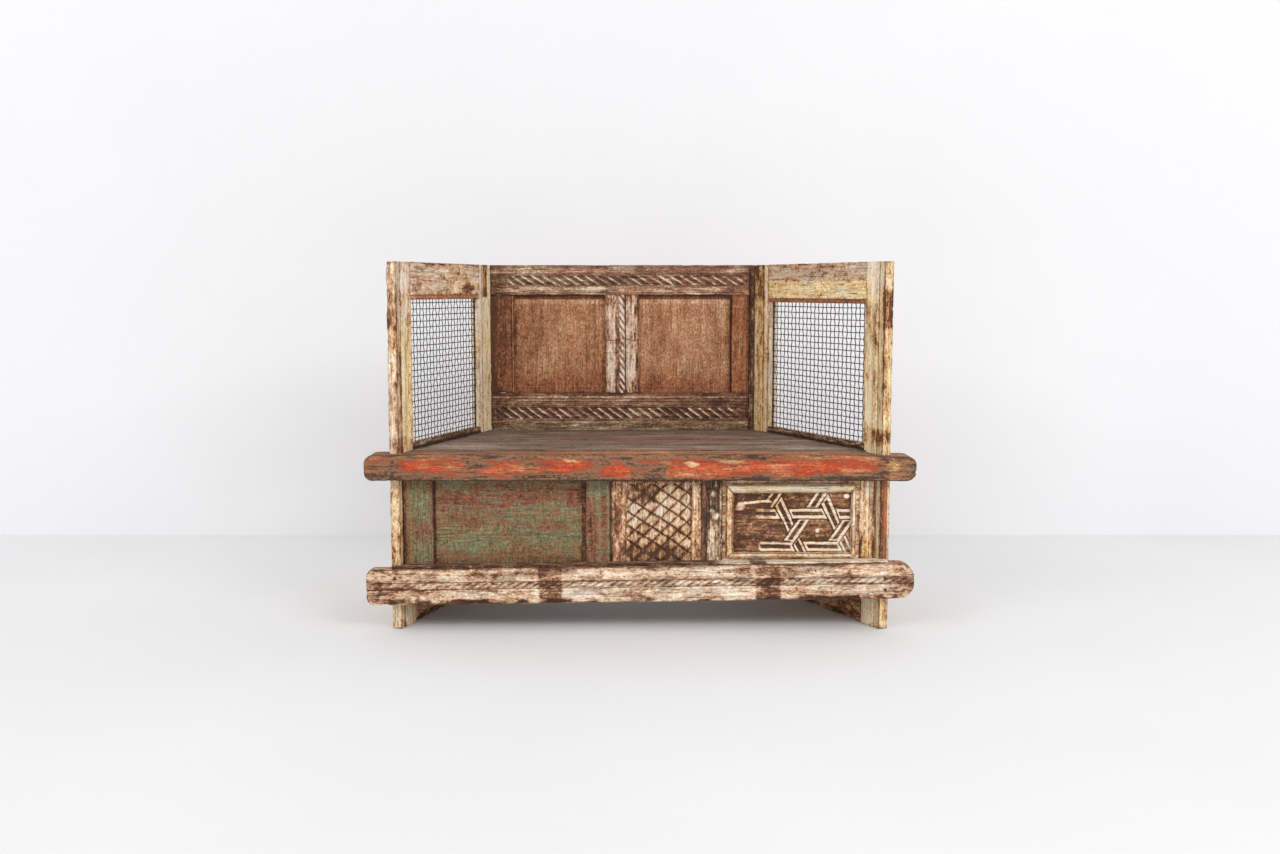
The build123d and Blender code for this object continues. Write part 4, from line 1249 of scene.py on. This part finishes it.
fit_back("back_left_stile", panel, left_stile_x, back_levels, 2, 4, 2.0, 0.9, left_stile_cut, left_stile_coat,
         between(*left_stile_x, right=False), {0: [(left_stile_x[1] - 16, left_stile_x[1] - 1, 1.1)]})
fit_back("back_right_stile", panel, right_stile_x, back_levels, 2, 4, 2.0, 0.8, right_stile_cut, right_stile_coat,
         between(*right_stile_x, left=False, right_inset=BATTEN),
         {0: [(right_stile_x[0] + 0.5, right_stile_x[0] + 11, 1.1),
              (right_stile_x[1] - 10, right_stile_x[1] - 2, 1.2)]})


def muntin_cut(p):
    x, _, z = p.T
    depth, strand = worn_rope(p, -z, x + 47.5, 7.4, 20.0, 31.0, 2.6, 161, (0.66, 0.92))
    seams = grooves(x, (-38.6, 3.6, 3.0), (-56.5, 2.0, 1.2)) + 1.6 * (1 - band(x, -91, -5.5, 0.8))
    seams += groove(x + 11.5 + 2.5 * np.sin(z / 34), 2.6, 1.8) * (z > 520)
    rings = groove(z - 650 - 2 * np.sin(x / 9), 3.0, 1.6) + groove(z - 616 - np.sin(x / 7), 3.0, 1.4) * (x < -57)
    seams += rings * (1 - band(x, -58, -37, 1))
    return depth + seams, strand, np.clip(depth / 3.4 + seams / 1.8, 0, 1)


def muntin_coat(p, n):
    x, _, z = p.T
    _, strand, dirt_and_shade = muntin_cut(p)
    marks = 0.36 * strand - 0.16 * band(x, -57, -39.5, 0.8) - 0.3 * band(x, -66, -57, 1) - 0.4 * (dirt_and_shade > 0.9)
    paint = 0.6 + (n[:, 1] < -0.3) * marks - 0.16 * ramp(z, 740, 755) - 0.2 * (1 - ramp(z, 530, 556))
    paint += patches(
        p, (-80, 745, 14, 14, -0.2), (-70, 650, 16, 8, -0.12), (-8, 655, 9, 40, -0.2), (-80, 590, 10, 50, 0.14),
        (-24, 590, 12, 60, 0.14), (-24, 648, 12, 16, -0.2), (-26, 720, 12, 26, 0.04))
    return paint, 0.5 + 0.3 * ramp(x, -38, -20)


fit_back("back_muntin", whitish, muntin_x, back_levels, 2, 4, 2.0, 1.2, muntin_cut, muntin_coat, word="carved",
         fine={0: [(-62, -34, 1.2)], 2: [(back_levels[0] + 3, back_levels[1] - 3, 2.0)]})


def panel_board(node, x_range):
    """A panel that stops short of the top rail and shows the dark groove there: its top strip is set back and darkened
    as painted shade.
    """
    middle = sum(x_range) / 2

    def cut(p):
        # The set-back top strip is darkened like the carving: painted shade in the groove under the top rail.
        return 3.2 * ramp(p[:, 2], 756.4, 758.8) + 0.5 * noise(p, (25, 25, 25), 41) + groove(p[:, 2] - 522, 2.4, 0.9)

    def coat(p, n):
        z = p[:, 2]
        level = 0.44 + 0.16 * band(z, 744, 756, 2) - 0.16 * (1 - ramp(z, 520, 575)) + 0.1 * band(z, 524, 527, 1)
        level += 0.06 * (middle > 0)
        level += patches(
            p, (20, 660, 60, 50, 0.12), (-70, 700, 40, 50, -0.06), (90, 620, 24, 60, -0.06), (0, 590, 90, 20, 0.05),
            start=middle)
        return level, 0.1 + 0.7 * (1 - ramp(z, 530, 590))

    size = ((x_range[0] - 4, x_range[1] + 4), (DEPTH + 8, DEPTH + 18), (LOW_RAIL[1] - 4, HIGH_RAIL[0] + 4))
    fit(node, panel, size, 2, 3.5, 1.2, 0.8, cut, coat, fine={2: [(518, 528, 1.2), (750, 762, 1.2)]})


panel_board("back_left_panel", (left_stile_x[1], muntin_x[0]))
panel_board("back_right_panel", (muntin_x[1], right_stile_x[0]))


def batten_bend(p):
    p[:, 0] += inner_x("right", p[:, 1]) - whole_x[1]
    return p


fit_back("right_corner_batten", gloomy, (back_x[1], whole_x[1]), (LOW_RAIL[0], HEIGHT), 2, 4, 2.0, 1.0,
         lambda p: groove(p[:, 0] - back_x[1] - 5, 2.4, 1.6), (0.36, 0.9), batten_bend)
fit_back("rear_bottom_rail", brown, whole_x, (70, 130), 0, 8, 1.8, 1.0, coat=(0.3, 0.3), bend=between(*whole_x))
fit("rear_seat_rail", brown, (whole_x, (REAR_RAIL_FRONT, DEPTH), (SUPPORT_TOP - 48, SUPPORT_TOP)), 0, 10, 1.8, 1.0,
    coat=(0.3, 0.3), bend=between(*whole_x))


# ---- seat


def seat_coat(p, n):
    level = patches(p, (-440, 120, 90, 60, 0.3), (430, 90, 70, 50, 0.2), (0, 460, 300, 30, -0.12), axes=ACROSS_BACK)
    tone = patches(p, (100, 260, 260, 60, 0.45), (-180, 330, 120, 60, 0.3), (-100, 60, 300, 20, 0.3), axes=ACROSS_BACK)
    return 0.46 + level, 0.2 + tone


for board_number in range(1, 5):
    name = f"seat_board_{board_number}"
    y_range = extent(name)[1]
    x_range = (inner_x("left", y_range[0]) + 0.5, inner_x("right", y_range[0]) - 0.5)
    fit(name, grey, (x_range, y_range, (SUPPORT_TOP, SEAT)), 0, 4.5, 1.6, 1.1, coat=seat_coat,
        bend=between(*x_range, inset=0.5))

for name in ("left_seat_bearer", "middle_seat_bearer", "right_seat_bearer"):
    bearer_size = (extent(name)[0], (SEAT_FRONT, REAR_RAIL_FRONT), (SUPPORT_TOP - 45, SUPPORT_TOP))
    fit(name, grey, bearer_size, 1, 10, 2.0, 1.0)


# ---- floor, light and camera

WALL_AT = 0.94  # in metres, as all that follows
SKIRTING = 0.05
SKIRTING_THICK = 0.012
WALL_HEIGHT = 5.0
WIDE = 9.0
LENS = 37.11
CAMERA_PLACE = (0.0, -3.244, 0.785)
CAMERA_FALL = 0.1045
WORLD_LIGHT, WORLD_SEEN = 0.77, 0.88


def plain(name, color):
    """A pale finish with a faint, broad unevenness, which shows from its front only."""
    g = Graph(name)
    place = g.node("ShaderNodeNewGeometry", "Position")
    tone = g.noise(place, (0.8, 0.8, 0.8), 3, 0.5)
    dark = tuple(0.97 * c for c in color[:3]) + (1.0,)
    g.set(g.shader.inputs["Base Color"], g.mix(g.range(tone, 0.35, 0.65), dark, color))
    g.shader.inputs["Roughness"].default_value = 0.9
    g.shader.inputs["Specular IOR Level"].default_value = 0.2
    clear = g.node("ShaderNodeBsdfTransparent", 0)
    behind = g.node("ShaderNodeNewGeometry", "Backfacing")
    one_sided = g.node("ShaderNodeMixShader", 0, i0=behind, i1=g.shader.outputs[0], i2=clear)
    g.set(g.tree.nodes["Material Output"].inputs["Surface"], one_sided)
    return g.material


def link(name, data, place=(0, 0, 0), turn=(0, 0, 0)):
    """A new object in the scene."""
    piece = bpy.data.objects.new(name, data)
    piece.location = place
    piece.rotation_euler = turn
    bpy.context.scene.collection.objects.link(piece)
    return piece


def sheet(name, start, end, material):
    """A flat backdrop sheet across the room, from one (y, z) to another."""
    mesh = bpy.data.meshes.new(name)
    corners = [(side * WIDE, *at) for side, at in ((-1, start), (1, start), (1, end), (-1, end))]
    mesh.from_pydata(corners, [], [(0, 1, 2, 3)])
    mesh.materials.append(material)
    piece = link(name, mesh)


floor_finish = plain("studio_floor", shade(235, 235, 236))
wall_finish = plain("studio_wall", shade(241, 241, 243))
skirting_at = WALL_AT - SKIRTING_THICK
sheet("studio_floor", (-WIDE, 0), (WALL_AT, 0), floor_finish)
sheet("studio_skirting", (skirting_at, 0), (skirting_at, SKIRTING), wall_finish)
sheet("studio_wall", (WALL_AT, 0), (WALL_AT, WALL_HEIGHT), wall_finish)


def lamp(name, place, turn, size, power):
    """A soft rectangular lamp."""
    light = bpy.data.lights.new(name, "AREA")
    light.shape = "RECTANGLE"
    light.size, light.size_y = size
    light.energy = power
    link(name, light, place, np.radians(turn))


lamp("right_window", (3.3, -4.1, 3.1), (58, 0, 38), (2.5, 1.6), 100)
lamp("left_window", (-3.5, -3.8, 3.2), (58, 0, -42), (3.0, 1.6), 69)

world = bpy.data.worlds.new("studio")
bpy.context.scene.world = world
world.use_nodes = True
sky = world.node_tree
rays = sky.nodes.new("ShaderNodeLightPath")
strength = sky.nodes.new("ShaderNodeMapRange")
strength.inputs["To Min"].default_value = WORLD_LIGHT
strength.inputs["To Max"].default_value = WORLD_SEEN
sky.links.new(rays.outputs["Is Camera Ray"], strength.inputs["Value"])
sky.links.new(strength.outputs[0], sky.nodes["Background"].inputs["Strength"])
sky.nodes["Background"].inputs["Color"].default_value = (1.0, 1.0, 1.0, 1.0)

camera = link("camera", bpy.data.cameras.new("camera"), CAMERA_PLACE, (np.pi / 2 - CAMERA_FALL, 0.0, 0.0))
camera.data.lens = LENS
camera.data.sensor_width = 36.0
bpy.context.scene.camera = camera
bpy.context.scene.view_settings.view_transform = "Standard"
